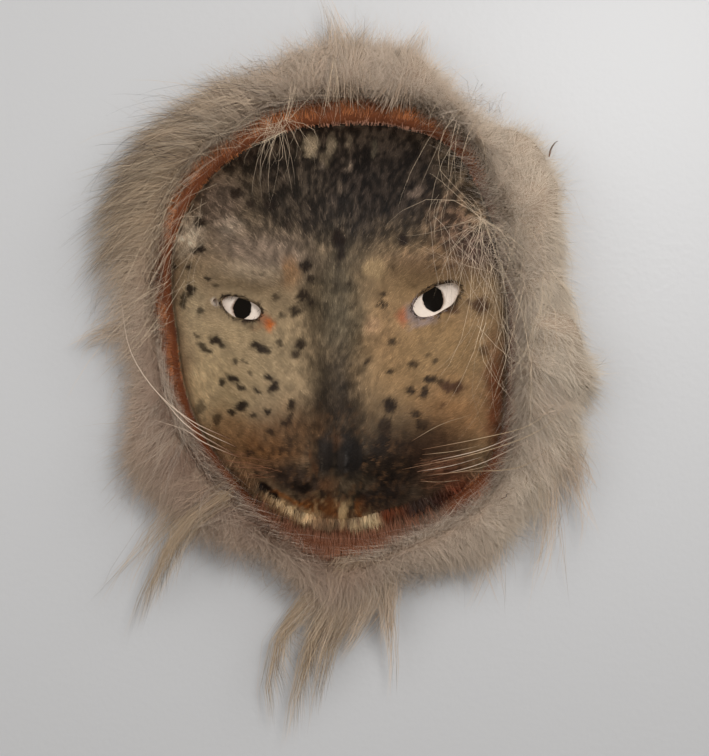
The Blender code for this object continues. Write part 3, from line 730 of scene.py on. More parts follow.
def eyelids(x, z):
    """A low rounded lid round each eye's opening."""
    return LID_LIFT * np.exp(-(((eye_distance(x, z) - LID_FROM_EYE) / LID_WIDE) ** 2))


def blob(u, v, mark_u, mark_v, half_u, half_v, tilt=0.0, soft=PATCH_SOFT):
    """1 inside an ellipse of the photograph, falling to 0 across its edge."""
    turn = math.radians(tilt)
    du, dv = u - mark_u, v - mark_v
    along = du * math.cos(turn) + dv * math.sin(turn)
    over = -du * math.sin(turn) + dv * math.cos(turn)
    away = np.sqrt((along / half_u) ** 2 + (over / half_v) ** 2)
    return np.clip((1.0 + soft - away) / (2.0 * soft), 0.0, 1.0) ** 1.5


def ragged(u, v, waves):
    """Pixels moved about by smooth noise."""
    moved_u, moved_v = u, v
    for far, wide, seed_u, seed_v in waves:
        moved_u = moved_u + far * noise(u / wide, v / wide, seed_u)
        moved_v = moved_v + far * noise(u / wide, v / wide, seed_v)
    return moved_u, moved_v


def painted(colour, u, v, marks, soft):
    """Colours with ellipses of other colours laid over them."""
    for *ellipse, tone, strength in marks:
        colour = toward(colour, tone, strength * blob(u, v, *ellipse, soft))
    return colour


def spot_marks():
    """The spots as marks: aslant on the left cheek, and browner at the far right."""
    for u, v, half_u, half_v, dark in SPOTS:
        tilt = SPOT_TILT if u < 300 and v > 330 else 0.0
        yield u, v, half_u, half_v, tilt, SPOT_BROWN if u > 440 else SPOT_BLACK, dark


def brow_share(v):
    return np.clip((BROW_LINE - v) / BROW_FADE, 0, 1)


def hide_colour(x, z, height):
    """Linear colours of the hide's hair at points of the front view."""
    u, v = to_photo(x, z, height)
    base = np.ones(np.shape(x) + (3,)) * linear(HIDE_BASE)
    colour = painted(base, *ragged(u, v, PATCH_WAVES), HIDE_PATCHES, PATCH_SOFT)
    # Streaks of the dark brow and the mottling of the rest run along the hair
    flow = hair_flow(x, z)
    turn = np.degrees(np.arctan2(flow[..., 0], flow[..., 1]))
    away = np.hypot(u - BETWEEN_EYES[0], v - BETWEEN_EYES[1])
    streak = layered(turn, away, *STREAKS) + layered(u, v, STREAK_BREAKS)
    streak = np.tanh(2.4 * streak)
    muzzle = np.clip((v - MUZZLE_LINE) / MUZZLE_FADE, 0, 1)
    mottle = layered(u, v, *MOTTLE) + muzzle * layered(u, v, MUZZLE_MOTTLE)
    plain = 0.17 + 0.42 * blob(u, v, *DARK_BAND, 0, 0.5) + 0.22 * muzzle
    brow = brow_share(v)
    calm = 1.0 - 0.5 * blob(u, v, *PALE_BROW)
    lift = brow * calm * (0.85 * streak - 0.05) + (1 - brow) * plain * mottle
    colour = colour * (HIDE_GLOW * np.exp(lift))[..., None]
    # Flecks on the muzzle and the chin
    rough = 0.6 * blob(u, v, *MUZZLE, 0, 0.4) * (1 - blob(u, v, *NOSE))
    chin = 0.7 * blob(u, v, *CHIN)
    for seed, where, tone in (
        (37, rough, MUZZLE_RUST),
        (38, rough, MUZZLE_BLACK),
        (43, chin, CHIN_CREAM),
        (44, chin, CHIN_DARK),
    ):
        fleck = layered(u, v, (1.0, 2.2, 3.6, seed), (0.6, 7.0, 9.0, seed + 2))
        colour = toward(colour, tone, where * np.clip(1.9 * fleck - 0.4, 0, 1))
    places = ragged(u, v, MARK_WAVES)
    for marks in (SHARP_MARKS, spot_marks()):
        colour = painted(colour, *places, marks, MARK_SOFT)
    # The lids' dark line, broken here and there
    lid = eye_distance(x, z)
    lid = np.where(np.hypot(x - PINHOLE["centre"][0], z - PINHOLE["centre"][1]) < 3.0, 9.0, lid)
    line = np.clip(1.3 - np.abs(lid - 0.4) / 0.9, 0, 1)
    line = line * (0.65 + layered(u, v, (0.9, 4.0, 4.0, 51)))
    return toward(colour, LID_BLACK, np.clip(line, 0, 0.95))


def hair_flow(x, z):
    """The way the hide's hair lies, as x and z: away from the nose, and on the forehead away
    from between the eyes."""
    centre = np.clip(z - 36.0, -64.0, 2.0)
    flow = np.stack([x + 3.0, np.where(z > -64, z - centre, z + 64.0)], axis=-1)
    return unit(flow)


def placed(points):
    """Points in mm from the face's centre as metres in the frame."""
    return (np.asarray(points, float) - [0, 0, CENTRE_DROP]) * MM


def points_of(thing):
    """A mesh's points in mm from the face's centre."""
    co = np.zeros(len(thing.data.vertices) * 3, np.float32)
    thing.data.vertices.foreach_get("co", co)
    return co.reshape(-1, 3) / MM + [0, 0, CENTRE_DROP]


def linked(name, data):
    """A new object in the scene."""
    thing = bpy.data.objects.new(name, data)
    bpy.context.scene.collection.objects.link(thing)
    return thing


def mesh_object(name, points, faces, tint=None):
    """A smooth mesh piece from points in mm and faces of equal length, with a colour at each
    point."""
    faces = [np.asarray(f, np.int32) for f in faces if len(f)]
    mesh = bpy.data.meshes.new(name)
    mesh.vertices.add(len(points))
    mesh.vertices.foreach_set("co", placed(points).astype(np.float32).ravel())
    loops = np.concatenate([f.ravel() for f in faces])
    counts = np.concatenate([np.full(len(f), f.shape[1]) for f in faces])
    mesh.loops.add(len(loops))
    mesh.loops.foreach_set("vertex_index", loops)
    mesh.polygons.add(len(counts))
    starts = np.concatenate([[0], np.cumsum(counts)[:-1]]).astype(np.int32)
    mesh.polygons.foreach_set("loop_start", starts)
    mesh.update(calc_edges=True)
    mesh.shade_smooth()
    if tint is not None:
        set_tint(mesh, tint)
    return linked(name, mesh)


def set_tint(mesh, tint):
    attribute = mesh.color_attributes.new("tint", "FLOAT_COLOR", "POINT")
    values = np.ones((len(mesh.vertices), 4), np.float32)
    values[:, :3] = np.clip(tint, 0.0, 1.0)
    attribute.data.foreach_set("color", values.ravel())


def grid_faces(rows, columns, closed=False, base=0):
    """Faces of a grid of points whose rows are rings. Closed, its last ring meets its first."""
    index = base + np.arange(rows * columns).reshape(rows, columns)
    index = np.hstack([index, index[:, :1]])
    if closed:
        index = np.vstack([index, index[:1]])
    corners = [index[:-1, :-1], index[:-1, 1:], index[1:, 1:], index[1:, :-1]]
    return np.stack(corners, axis=-1).reshape(-1, 4)


def strip_points(values):
    """Values at a hair's steps as values at its ribbon's points, two at each and one at the tip."""
    width = values.shape[-1]
    pairs = np.repeat(values[:, :-1], 2, axis=1)
    return np.concatenate([pairs, values[:, -1:]], axis=1).reshape(-1, width)


def ribbons(name, paths, widths, colours, facing, soft=None):
    """Hairs as one mesh of thin strips that taper to a point.

    paths is hairs x points x 3 in mm, widths the width at the root, colours hairs x points x 3,
    and facing the way each strip's flat side looks, hairs x 3. soft gives shading normals like
    those of the whole coat, hairs x points x 3."""
    count, rows, _ = paths.shape
    facing = np.broadcast_to(facing[:, None], paths.shape)
    side = unit(np.cross(np.gradient(paths, axis=1), facing))
    t = np.linspace(0, 1, rows)
    taper = (1.0 - t**2.2 * 0.75)[None, :, None]
    half = side * (widths[:, None, None] * THICKEN / 2) * taper
    pairs = np.stack([(paths - half)[:, :-1], (paths + half)[:, :-1]], axis=2)
    points = np.concatenate([pairs.reshape(count, -1, 3), paths[:, -1:]], axis=1).reshape(-1, 3)
    base = (np.arange(count) * (2 * rows - 1))[:, None]
    quads = [base + 2 * k + np.array([0, 1, 3, 2]) for k in range(rows - 2)]
    tips = base + 2 * (rows - 2) + np.array([0, 1, 2])
    faces = [np.concatenate(quads), tips] if quads else [tips]
    made = mesh_object(name, points, faces, strip_points(colours))
    if soft is not None:
        made.data.normals_split_custom_set_from_vertices(unit(strip_points(soft)))
    return made


def bezier(first, control, last, t):
    """Points of quadratic curves, hairs x len(t) x 3."""
    t = np.asarray(t)[None, :, None]
    return (
        (1 - t) ** 2 * first[:, None] + 2 * t * (1 - t) * control[:, None] + t**2 * last[:, None]
    )


def rolled(facing, along, angle):
    """Facing directions turned about the hairs by an angle each."""
    along = unit(along)
    facing = unit(facing - (facing * along).sum(-1, keepdims=True) * along)
    c, s = np.cos(angle)[:, None], np.sin(angle)[:, None]
    return facing * c + np.cross(along, facing) * s


def material(name):
    made = bpy.data.materials.new(name)
    made.use_nodes = True
    nodes = made.node_tree.nodes
    return made, nodes, made.node_tree.links, nodes["Principled BSDF"]


def add(nodes, kind, **settings):
    node = nodes.new(kind)
    for key, value in settings.items():
        if key in node.inputs:
            node.inputs[key].default_value = value
        else:
            setattr(node, key.lower(), value)
    return node


def add_span(nodes, middle, half):
    """A node that spreads noise over a range."""
    span = add(nodes, "ShaderNodeMapRange")
    span.inputs["To Min"].default_value = middle - half
    span.inputs["To Max"].default_value = middle + half
    return span


def tinted_material(name):
    """Colour from the mesh's tint, varied by fine noise, with a noise bump where asked."""
    roughness, grain_scale, grain, bump, sheen, specular = MATERIALS[name]
    made, nodes, links, shader = material(name)
    tint = add(nodes, "ShaderNodeAttribute")
    tint.attribute_name = "tint"
    place = add(nodes, "ShaderNodeTexCoord")
    spots = add(nodes, "ShaderNodeTexNoise", Scale=grain_scale, Detail=3.0)
    links.new(place.outputs["Object"], spots.inputs["Vector"])
    span, rough = add_span(nodes, 1.0, grain), add_span(nodes, roughness, ROUGH_SPREAD)
    scale = add(nodes, "ShaderNodeVectorMath", operation="SCALE")
    links.new(tint.outputs["Color"], scale.inputs[0])
    links.new(spots.outputs["Fac"], span.inputs["Value"])
    links.new(span.outputs["Result"], scale.inputs["Scale"])
    links.new(scale.outputs["Vector"], shader.inputs["Base Color"])
    links.new(spots.outputs["Fac"], rough.inputs["Value"])
    links.new(rough.outputs["Result"], shader.inputs["Roughness"])
    shader.inputs["Specular IOR Level"].default_value = specular
    shader.inputs["Sheen Weight"].default_value = sheen
    shader.inputs["Sheen Roughness"].default_value = SHEEN_ROUGHNESS
    if bump:
        dents = add(nodes, "ShaderNodeBump", Strength=bump, Distance=GRAIN_HIGH)
        links.new(spots.outputs["Fac"], dents.inputs["Height"])
        links.new(dents.outputs["Normal"], shader.inputs["Normal"])
    return made


def dress(thing, coats, slot, *replaced):
    """Gives a piece its materials, its body and the solids that it stands for."""
    thing.data.materials.clear()
    for coat in coats:
        thing.data.materials.append(bpy.data.materials.get(coat) or tinted_material(coat))
    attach(thing, "root")
    if replaced:
        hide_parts(*replaced)


def ring_disc(rings):
    """A square grid whose rings become rings of a disc: shares, bearings and faces."""
    side = np.linspace(-1, 1, 2 * rings + 1)
    a, b = np.meshgrid(side, side, indexing="ij")
    share = np.maximum(np.abs(a), np.abs(b))
    with np.errstate(divide="ignore", invalid="ignore"):
        beside = np.sign(a) * 90.0 - 45.0 * b / a
        above = 45.0 * a / b + np.where(b < 0, 180.0, 0.0)
    bearing = np.where(np.abs(a) > np.abs(b), beside, above)
    bearing[share == 0] = 0.0
    index = np.arange(len(side) ** 2).reshape(len(side), -1)
    faces = np.stack([index[:-1, :-1], index[1:, :-1], index[1:, 1:], index[:-1, 1:]], axis=-1)
    return share.ravel(), bearing.ravel(), faces.reshape(-1, 4)


def applied(thing, name):
    """A new mesh object with the modifiers applied; the first one is removed."""
    bpy.context.view_layer.update()
    seen = thing.evaluated_get(bpy.context.evaluated_depsgraph_get())
    mesh = bpy.data.meshes.new_from_object(seen)
    bpy.data.objects.remove(thing)
    mesh.name = name
    return linked(name, mesh)


def prism(name, loop, near, far):
    """A closed prism along y through an outline, to cut with."""
    n = len(loop)
    ends = [xyz(loop[:, 0], y, loop[:, 1]) for y in (near, far)]
    k = np.arange(n)
    sides = np.stack([k, (k + 1) % n, (k + 1) % n + n, k + n], axis=1).tolist()
    mesh = bpy.data.meshes.new(name)
    faces = [*sides, k[::-1].tolist(), (k + n).tolist()]
    mesh.from_pydata(placed(np.vstack(ends)).tolist(), [], faces)
    mesh.update()
    return linked(name, mesh)


def add_wall(thing, thickness):
    """Thickens a sheet inwards."""
    wall = thing.modifiers.new("wall", "SOLIDIFY")
    wall.thickness = thickness * MM
    wall.offset = -1.0
    return wall


def cut_eyes(face):
    """The face with its eye openings and the pinhole cut through."""
    cutters = []
    for name, loop in [*((side, eye_loop(side)) for side in EYES), ("pinhole", pinhole_loop())]:
        cutters.append(prism(name, loop, -80.0, 20.0))
        cut = face.modifiers.new(name, "BOOLEAN")
        cut.operation, cut.solver, cut.object = "DIFFERENCE", "EXACT", cutters[-1]
    face = applied(face, "face_hide")
    for cutter in cutters:
        bpy.data.objects.remove(cutter)
    return face


def build_face():
    """The moulded hide: outer surface, wall, open back and cut eyes."""
    share, bearing, faces = ring_disc(FACE_RINGS)
    starts = 1.0 - FLANGE_RINGS / FACE_RINGS
    inside = np.minimum(share / starts, 1.0)
    beyond = np.maximum(share - starts, 0.0) / (1.0 - starts)
    radius = rim("hide", bearing) * (1.0 - (1.0 - inside) ** RIM_CROWDING)
    x, z = across(bearing, radius + (rim("trim", bearing) - 0.6) * beyond)
    face = mesh_object("face_hide", xyz(x, -face_height(x, z), z), [faces])
    wall = add_wall(face, HIDE)
    wall.use_even_offset = True
    wall.material_offset = 1
    for side in ("outer_side", "inner_side"):
        face.data.materials.append(bpy.data.materials.new(side))
    face = cut_eyes(face)
    x, y, z = points_of(face).T
    outer = -y > face_height(x, z) - HIDE * 0.5
    tone = hide_colour(x, z, -y) * 0.8
    raw = linear(RAW_SKIN) * (1.0 + 0.16 * noise(x / 7.0, z / 7.0, 61))[:, None]
    set_tint(face.data, np.where(outer[:, None], tone, raw))
    dress(face, ["hide_under_hair", "raw_skin"], "spotted_hide", "face_shell")


def scatter_on_face(count, rng):
    """Random places on the hide's outer surface, evenly by area."""
    found = []
    while sum(len(part) for part in found) < count:
        x, z = rng.uniform(-125, 125, count), rng.uniform(-125, 125, count)
        bearing, radius = polar(x, z)
        keep = radius < rim("hide", bearing) - 0.4
        keep &= rng.uniform(0, 3.0, count) < 1.0 / np.abs(face_normal(x, z)[:, 1])
        found.append(np.stack([x[keep], z[keep]], axis=1))
    return np.concatenate(found)[:count].T


def build_face_hair(name, count, longest, width, steps, seed):
    """The hide's short hair, lying away from the nose."""
    rng = np.random.default_rng(seed)
    x, z = scatter_on_face(int(count * THIN_OUT), rng)
    height, normal = face_height(x, z), face_normal(x, z)
    flow_x, flow_z = hair_flow(x, z).T
    swing = rng.normal(0, 0.2, len(x)) + 0.3 * noise(x / 16.0, z / 16.0, 71)
    c, s = np.cos(swing), np.sin(swing)
    direction = xyz(flow_x * c - flow_z * s, 0.0, flow_x * s + flow_z * c)
    direction = unit(direction - (direction * normal).sum(1, keepdims=True) * normal)
    length = longest * rng.uniform(0.6, 1.15, len(x))
    length *= np.clip(0.35 + eye_distance(x, z) / 9.0, 0.3, 1.0)
    length *= 1.0 - 0.75 * blob(*to_photo(x, z, height), *BARE_NOSE)
    bearing, radius = polar(x, z)
    length *= np.clip(0.5 + (rim("hide", bearing) - radius) / 10.0, 0.5, 1.0)
    lift = rng.uniform(0.05, 0.16, len(x))[:, None]
    root = xyz(x, -height, z) - normal * 0.1
    rise = normal * length[:, None] * lift
    middle = root + direction * (length * 0.5)[:, None] + rise
    tip = root + direction * length[:, None] + rise
    clear = np.min([eye_distance(p[:, 0], p[:, 2]) for p in (root, middle, tip)], axis=0) > 0.3
    root, middle, tip, normal, direction = (
        part[clear] for part in (root, middle, tip, normal, direction)
    )
    paths = bezier(root, middle, tip, steps)
    x, y, z = (0.4 * root + 0.6 * tip).T
    tone = hide_colour(x, z, -y)
    brow = brow_share(to_photo(x, z, -y)[1])
    tone = tone * np.exp(rng.normal(0, 1, len(x)) * (0.2 + 0.22 * brow))[:, None]
    shade = (0.85 + 0.3 * np.array(steps))[None, :, None]
    facing = rolled(normal, direction, rng.normal(0, 0.5, len(x)))
    soft = np.repeat((0.6 * normal + 0.4 * facing)[:, None], len(steps), axis=1)
    widths = width * rng.uniform(0.7, 1.2, len(x))
    hair = ribbons(name, paths, widths, tone[:, None] * shade, facing, soft)
    dress(hair, ["hide_hair"], "spotted_hide")


def build_eye_patch(side):
    """A pale leather patch with a roughly cut pupil hole, following the face's inside."""
    eye = EYES[side]
    rng = np.random.default_rng(eye["seed"])
    cx, cz, half_x, half_z, tilt = eye["patch"]
    px, pz = eye["pupil"]
    angle = np.linspace(0, 2 * np.pi, PATCH_TURNS, endpoint=False)
    ragged_edge = sum(
        rng.normal(0, 0.12 / math.sqrt(k)) * np.sin(k * angle + rng.uniform(0, 6.3))
        for k in range(2, 16)
    )
    pupil = eye["pupil_radius"] + ragged_edge
    turn = math.radians(tilt)
    along, up = half_x * np.cos(angle), half_z * np.sin(angle)
    edge_x = cx + along * math.cos(turn) - up * math.sin(turn)
    edge_z = cz + along * math.sin(turn) + up * math.cos(turn)
    hole_angle = np.arctan2(edge_z - pz, edge_x - px)
    hole_x, hole_z = px + pupil * np.cos(hole_angle), pz + pupil * np.sin(hole_angle)
    t = np.linspace(0, 1, PATCH_ROWS)[:, None]
    x = (hole_x * (1 - t) + edge_x * t).ravel()
    z = (hole_z * (1 - t) + edge_z * t).ravel()
    points = xyz(x, -face_height(x, z, fine=False), z) - face_normal(x, z) * (HIDE + PATCH_GAP)
    faces = grid_faces(PATCH_ROWS, PATCH_TURNS)[:, ::-1]
    patch = mesh_object(f"eye_patch_{side}_leather", points, [faces])
    add_wall(patch, PATCH)
    patch = applied(patch, f"eye_patch_{side}_leather")
    x, _, z = points_of(patch).T
    from_hole = np.hypot(x - px, z - pz) - eye["pupil_radius"]
    stain = np.clip(0.9 - from_hole / 0.7, 0, 0.75)
    mottled = 1 + 0.05 * noise(x / 2.0, (z - CENTRE_DROP) / 2.0, 81)
    set_tint(patch.data, toward(linear(EYE_WHITE) * mottled[:, None], EYE_STAIN, stain))
    dress(patch, [f"eye_leather_{side}"], "eye_leather", f"eye_patch_{side}")


def ring_mesh(name, stations, section):
    """A closed ring: section(bearing) gives its points as rows of radius and y."""
    bearing = np.arange(stations) * 360.0 / stations
    radius, y = section(bearing)
    points = at_rim(bearing[:, None], radius, y).reshape(-1, 3)
    return mesh_object(name, points, [grid_faces(*radius.shape, closed=True)]), points


def trim_lost(bearing):
    """How far the trim is lost in the ruff's brown underfur: at the lower left, and right of the
    mouth."""
    left = stretch("trim_lost_left", bearing)
    return np.clip(left + stretch("trim_lost_by_mouth", bearing), 0, 1)


def build_trim_core():
    """The dark woolly body of the trim's short fur."""
    turn = np.linspace(0, np.pi, TRIM_ARC)

    def section(bearing):
        inner = rim("hide", bearing)[:, None] + TRIM_INSET
        width = rim("trim", bearing)[:, None] - TRIM_INSET
        radius = inner + width * (0.5 - 0.5 * np.cos(turn))[None, :]
        rough = 1.0 + 0.12 * noise(bearing[:, None] / 3.0, turn[None, :] * 2, 91)
        return radius, -(FLANGE_FRONT + GAP) - TRIM_HEIGHT * 0.55 * np.sin(turn)[None, :] * rough

    core, points = ring_mesh("trim_underfur", TRIM_STATIONS, section)
    x, _, z = points.T
    tone = linear(TRIM_DEEP) * (1 + 0.2 * noise(x / 2, z / 2, 92))[:, None]
    lost = trim_lost(polar(x, z)[0])[:, None]
    set_tint(core.data, tone * (1 - lost) + 0.6 * linear(TRIM_LOST) * lost)
    dress(core, ["trim_wool"], "trim_fur", "fur_trim")


def build_trim_hair():
    """The trim's short red-brown hair, which lies outwards."""
    rng = np.random.default_rng(7)
    count = int(TRIM_HAIRS * THIN_OUT)
    bearing = rng.uniform(0, 360, count)
    place = rng.uniform(-0.06, 0.9, count)
    inner, width = rim("hide", bearing) + 0.6, rim("trim", bearing)
    high = FLANGE_FRONT + GAP + 1.0 + 3.0 * np.sin(np.pi * np.clip(place, 0, 1))
    root = at_rim(bearing, inner + width * place, -high)
    out_x, out_z = across(bearing, 1.0)
    outward, around = xyz(out_x, 0.0, out_z), xyz(out_z, 0.0, -out_x)
    below, tuft = stretch("chin_trim", bearing), stretch("trim_tuft", bearing)
    swirl = 0.35 * noise(bearing / 5.0, place * 2.0, 94) + rng.normal(0, 0.22, count)
    rise = rng.uniform(0.25, 0.75, count)
    direction = outward + around * swirl[:, None] + AHEAD * rise[:, None]
    direction = unit(direction + 0.8 * DOWN * (0.1 + below + tuft)[:, None])
    length = rng.uniform(4.5, 8.0, count) * (0.7 + 0.3 * width / 10.0)
    length *= 1.0 + 0.5 * below + 0.5 * tuft
    tip = root + direction * length[:, None] - 0.22 * AHEAD * length[:, None]
    middle = root + direction * (0.5 * length)[:, None] + 0.8 * AHEAD
    paths = bezier(root, middle, tip, TRIM_STEPS)
    patchy = noise(bearing / 6.0, place * 2.0, 93) * 0.5 + 0.5
    dull = stretch("dull_trim_left", bearing) + stretch("dull_trim_right", bearing)
    dull = np.clip(dull * 0.8 + 0.5 * noise(bearing / 3.0, place * 3.0, 99), 0, 0.9)
    tone = toward(toward(linear(TRIM_DEEP), TRIM_BRIGHT, patchy), TRIM_DULL, dull)
    tone = tone * np.exp(rng.normal(0, 0.22, count))[:, None]
    tone = toward(tone, TRIM_GREY, below * rng.uniform(0.35, 1, count))
    tone = toward(tone, TRIM_LOST, trim_lost(bearing) * rng.uniform(0.7, 1, count))
    # Pinkish hide shows along the inner edge at the top
    top = stretch("pink_top_from_bottom", (bearing + 180) % 360)
    tone = toward(tone, TRIM_PINK, 0.9 * top * np.clip(1.2 - place / 0.16, 0, 1))
    shade = np.array([0.7, 0.95, 1.05, 1.15])[None, :, None]
    ahead = np.broadcast_to(AHEAD, (count, 3))
    facing = rolled(ahead, direction, rng.normal(0, 0.6, count))
    soft = unit(ahead + outward * (place - 0.4)[:, None] * 1.2)
    soft = np.repeat((0.75 * soft + 0.25 * facing)[:, None], len(TRIM_STEPS), axis=1)
    widths = 0.24 * rng.uniform(0.7, 1.2, count)
    hair = ribbons("trim_hair", paths, widths, tone[:, None] * shade, facing, soft)
    dress(hair, ["trim_hairs"], "trim_fur")


def wool_surface(bearing, turn):
    """The surface of the ruff's dense wool. turn goes from 0 inside, at the trim, over the crown
    to 1 outside, at the wall."""
    lip = lip_at(bearing)
    lumps = noise(bearing / 9.0, turn * 3, 96) + 0.5 * noise(bearing / 4.0, turn * 6, 98)
    lumps = lumps * (0.05 + 0.13 * rim("wool", bearing))
    width = ((rim("reach", bearing) - lip) * rim("dense", bearing) - 7.0) * (1 + lumps)
    arch = np.sin(np.pi * turn)
    radius = lip + 0.5 + width * (0.5 - 0.5 * np.cos(np.pi * turn))
    radius = radius - 0.9 * rim("lap", bearing) * arch * (1 - turn)
    high = 0.56 * rim("stand", bearing) * (1 + 1.3 * lumps)
    return at_rim(bearing, radius, -BACKING - high * arch**0.7)


def wool_normal(bearing, turn):
    """Unit normals of the wool's surface, pointing out of it."""
    step = 0.02
    around = wool_surface(bearing + 1.0, turn) - wool_surface(bearing - 1.0, turn)
    over = wool_surface(bearing, np.minimum(turn + step, 1))
    over = over - wool_surface(bearing, np.maximum(turn - step, 0))
    return unit(np.cross(around, over))


def build_backing():
    """The hide strip that carries the ruff, flat against the wall."""

    def strip(bearing):
        inner = rim("hide", bearing) + RUFF_LAP
        lip = lip_at(bearing)
        outer = lip + (rim("reach", bearing) - lip) * 0.5
        radius = np.stack([inner, inner, outer, outer], axis=1)
        return radius, np.broadcast_to([0.0, -BACKING, -BACKING, 0.0], radius.shape)

    band, points = ring_mesh("ruff_backing", BAND_STATIONS, strip)
    blotch = 1 + 0.12 * noise(points[:, 0] / 9, points[:, 2] / 9, 95)
    set_tint(band.data, linear(RAW_SKIN) * blotch[:, None])
    band.data.set_sharp_from_angle(angle=math.radians(40))
    dress(band, ["backing_skin"], "ruff_fur", "ruff")


def build_wool():
    """The body of the ruff's dense wool."""
    around = np.arange(WOOL_STATIONS) * 360.0 / WOOL_STATIONS
    bearing, turn = np.meshgrid(around, np.linspace(0, 1, WOOL_ROWS), indexing="ij")
    points = wool_surface(bearing, turn)
    tone = linear(RUFF_DEEP) * (1 + 0.08 * noise(bearing / 3.0, turn * 9, 97))[..., None]
    faces = grid_faces(WOOL_STATIONS, WOOL_ROWS, closed=True)
    body = mesh_object("ruff_wool", points.reshape(-1, 3), [faces], tone.reshape(-1, 3))
    dress(body, ["wool_body"], "ruff_fur")


def olive_tinge(share):
    """What the olive tinge leaves of red, green and blue."""
    return 1 - share * (1 - np.array(OLIVE_SHADE))


def coat_colours(rng, locks, per, dark_tips, share):
    """Colours along the ruff's hairs: dark at the root, pale towards the tip, some tips dark."""
    count = locks * per
    steps = np.array(HAIR_STEPS)[None, :, None]
    fade = np.clip(steps * 1.4, 0, 1)
    ends = np.clip(steps * 2 - 1.0, 0, 1)
    deep, mid, tip = linear(RUFF_DEEP), linear(RUFF_MID), linear(RUFF_TIP)
    tone = (deep * (1 - fade) + mid * fade) * (1 - 0.7 * ends) + tip * 0.7 * ends
    lock_tone = np.repeat(np.exp(rng.normal(0, 0.07, locks)), per)
    warm = np.repeat(rng.normal(0, 0.03, locks), per)
    tone = tone * (lock_tone * np.exp(rng.normal(0, 0.10, count)))[:, None, None]
    tone = tone * np.stack([1 + warm, np.ones(count), 1 - warm], axis=1)[:, None, :]
    olive = np.clip(1.1 * np.broadcast_to(dark_tips, count), 0, 1)[:, None, None]
    tone = tone * olive_tinge(olive * (1 - 0.2 * steps))
    dark = (rng.uniform(0, 1, count) < dark_tips * share)[:, None, None]
    ends = np.clip(steps * 2.4 - 1.1, 0, 1) * 0.85
    return np.where(dark, tone * (1 - ends) + linear(GUARD_DARK) * ends, tone)


def off_wall(paths):
    """Keeps hairs in front of the wall."""
    paths[:, :, 1] = np.minimum(paths[:, :, 1], -WALL_CLEAR)


def dress_hair(name, paths, widths, tone, facing, soft):
    """Makes a piece of the ruff's hair from what stays within reach of the solids."""
    low, high = np.array(CAD_LOW) / MM, np.array(CAD_HIGH) / MM
    room = FARTHEST_SHARE * (high - low) + FARTHEST_MORE
    centre = np.array([0, 0, CENTRE_DROP])
    near = (paths > low - room + centre) & (paths < high + room + centre)
    near[:, :, 1] = True
    keep = near.all(axis=(1, 2))
    hair = ribbons(name, *(part[keep] for part in (paths, widths, tone, facing, soft)))
    dress(hair, ["ruff_hairs"], "ruff_fur")


def wool_hair(name, first, last, count, seed):
    """Short soft hair all over the ruff's wool between two bearings: curly where it is woolly,
    and combed outwards and down where it isn't."""
    rng = np.random.default_rng(seed)
    count = int(count * THIN_OUT)
    bearing, turn = rng.uniform(first, last, count), rng.uniform(0.02, 1.0, count)
    wool, dark_tips = rim("wool", bearing), rim("dark_tips", bearing)
    airy = stretch("airy", bearing)
    root, normal = wool_surface(bearing, turn), wool_normal(bearing, turn)
    over = wool_surface(bearing, np.minimum(turn + 0.03, 1)) - wool_surface(bearing, turn - 0.02)
    inner = np.clip((0.30 - turn) / 0.15, 0, 1) * np.clip(rim("cover", bearing) / 6.0, 0, 1)
    over = unit(over) * (1 - 1.2 * inner)[:, None]
    swirl = noise(bearing / 6.0, turn * 5.0, 131) * (0.5 + 0.9 * wool) - 1.1 * dark_tips
    around = at_rim(bearing + 90.0, 1.0, 0.0)
    flow = over + around * swirl[:, None] + DOWN * (rim("droop", bearing) / 20.0)[:, None]
    flow = unit(flow + rng.normal(0, 1, flow.shape) * (0.22 + 0.35 * wool)[:, None])
    length = rng.uniform(7, 15, count) * (1.1 - 0.35 * wool) * (1 - 0.3 * airy)
    halo = rng.uniform(0, 1, count) < 0.3 * np.clip(turn * 1.6, 0.3, 1)
    length[halo] *= rng.uniform(1.2, 2.7, halo.sum())
    rise = rng.uniform(0.25, 0.75, count)[:, None]
    way = flow * (1 - 0.35 * rise) + normal * rise
    middle = root + way * (0.55 * length)[:, None] + rng.normal(0, 0.7, flow.shape)
    tip = root + (way * 0.6 + flow * 0.5) * length[:, None]
    tip = tip + rng.normal(0, 1.0, flow.shape) * (0.6 + 1.4 * wool)[:, None]
    root = root - normal * 1.5
    paths = bezier(root, middle, tip, (0.0, 0.5, 1.0))
    off_wall(paths)
    tone = wool_tones(rng, bearing, turn, dark_tips * (1 - airy))
    tone = tone * olive_tinge(np.clip(1.1 * dark_tips, 0, 1)[:, None, None])
    dark = (rng.uniform(0, 1, count) < 0.42 * dark_tips) & (turn > 0.4)
    tone[dark, 2] = linear(GUARD_DARK)
    tone[dark, 1] = 0.55 * tone[dark, 1]
    facing = rolled(normal, tip - root, rng.normal(0, 0.5, count))
    soft = np.repeat((0.93 * normal + 0.07 * facing + 0.5 * AHEAD)[:, None], 3, axis=1)
    widths = 0.2 * rng.uniform(0.6, 1.2, count) * (1 - 0.25 * wool)
    widths[halo] *= 0.45
    dress_hair(name, paths, widths, tone, facing, soft)


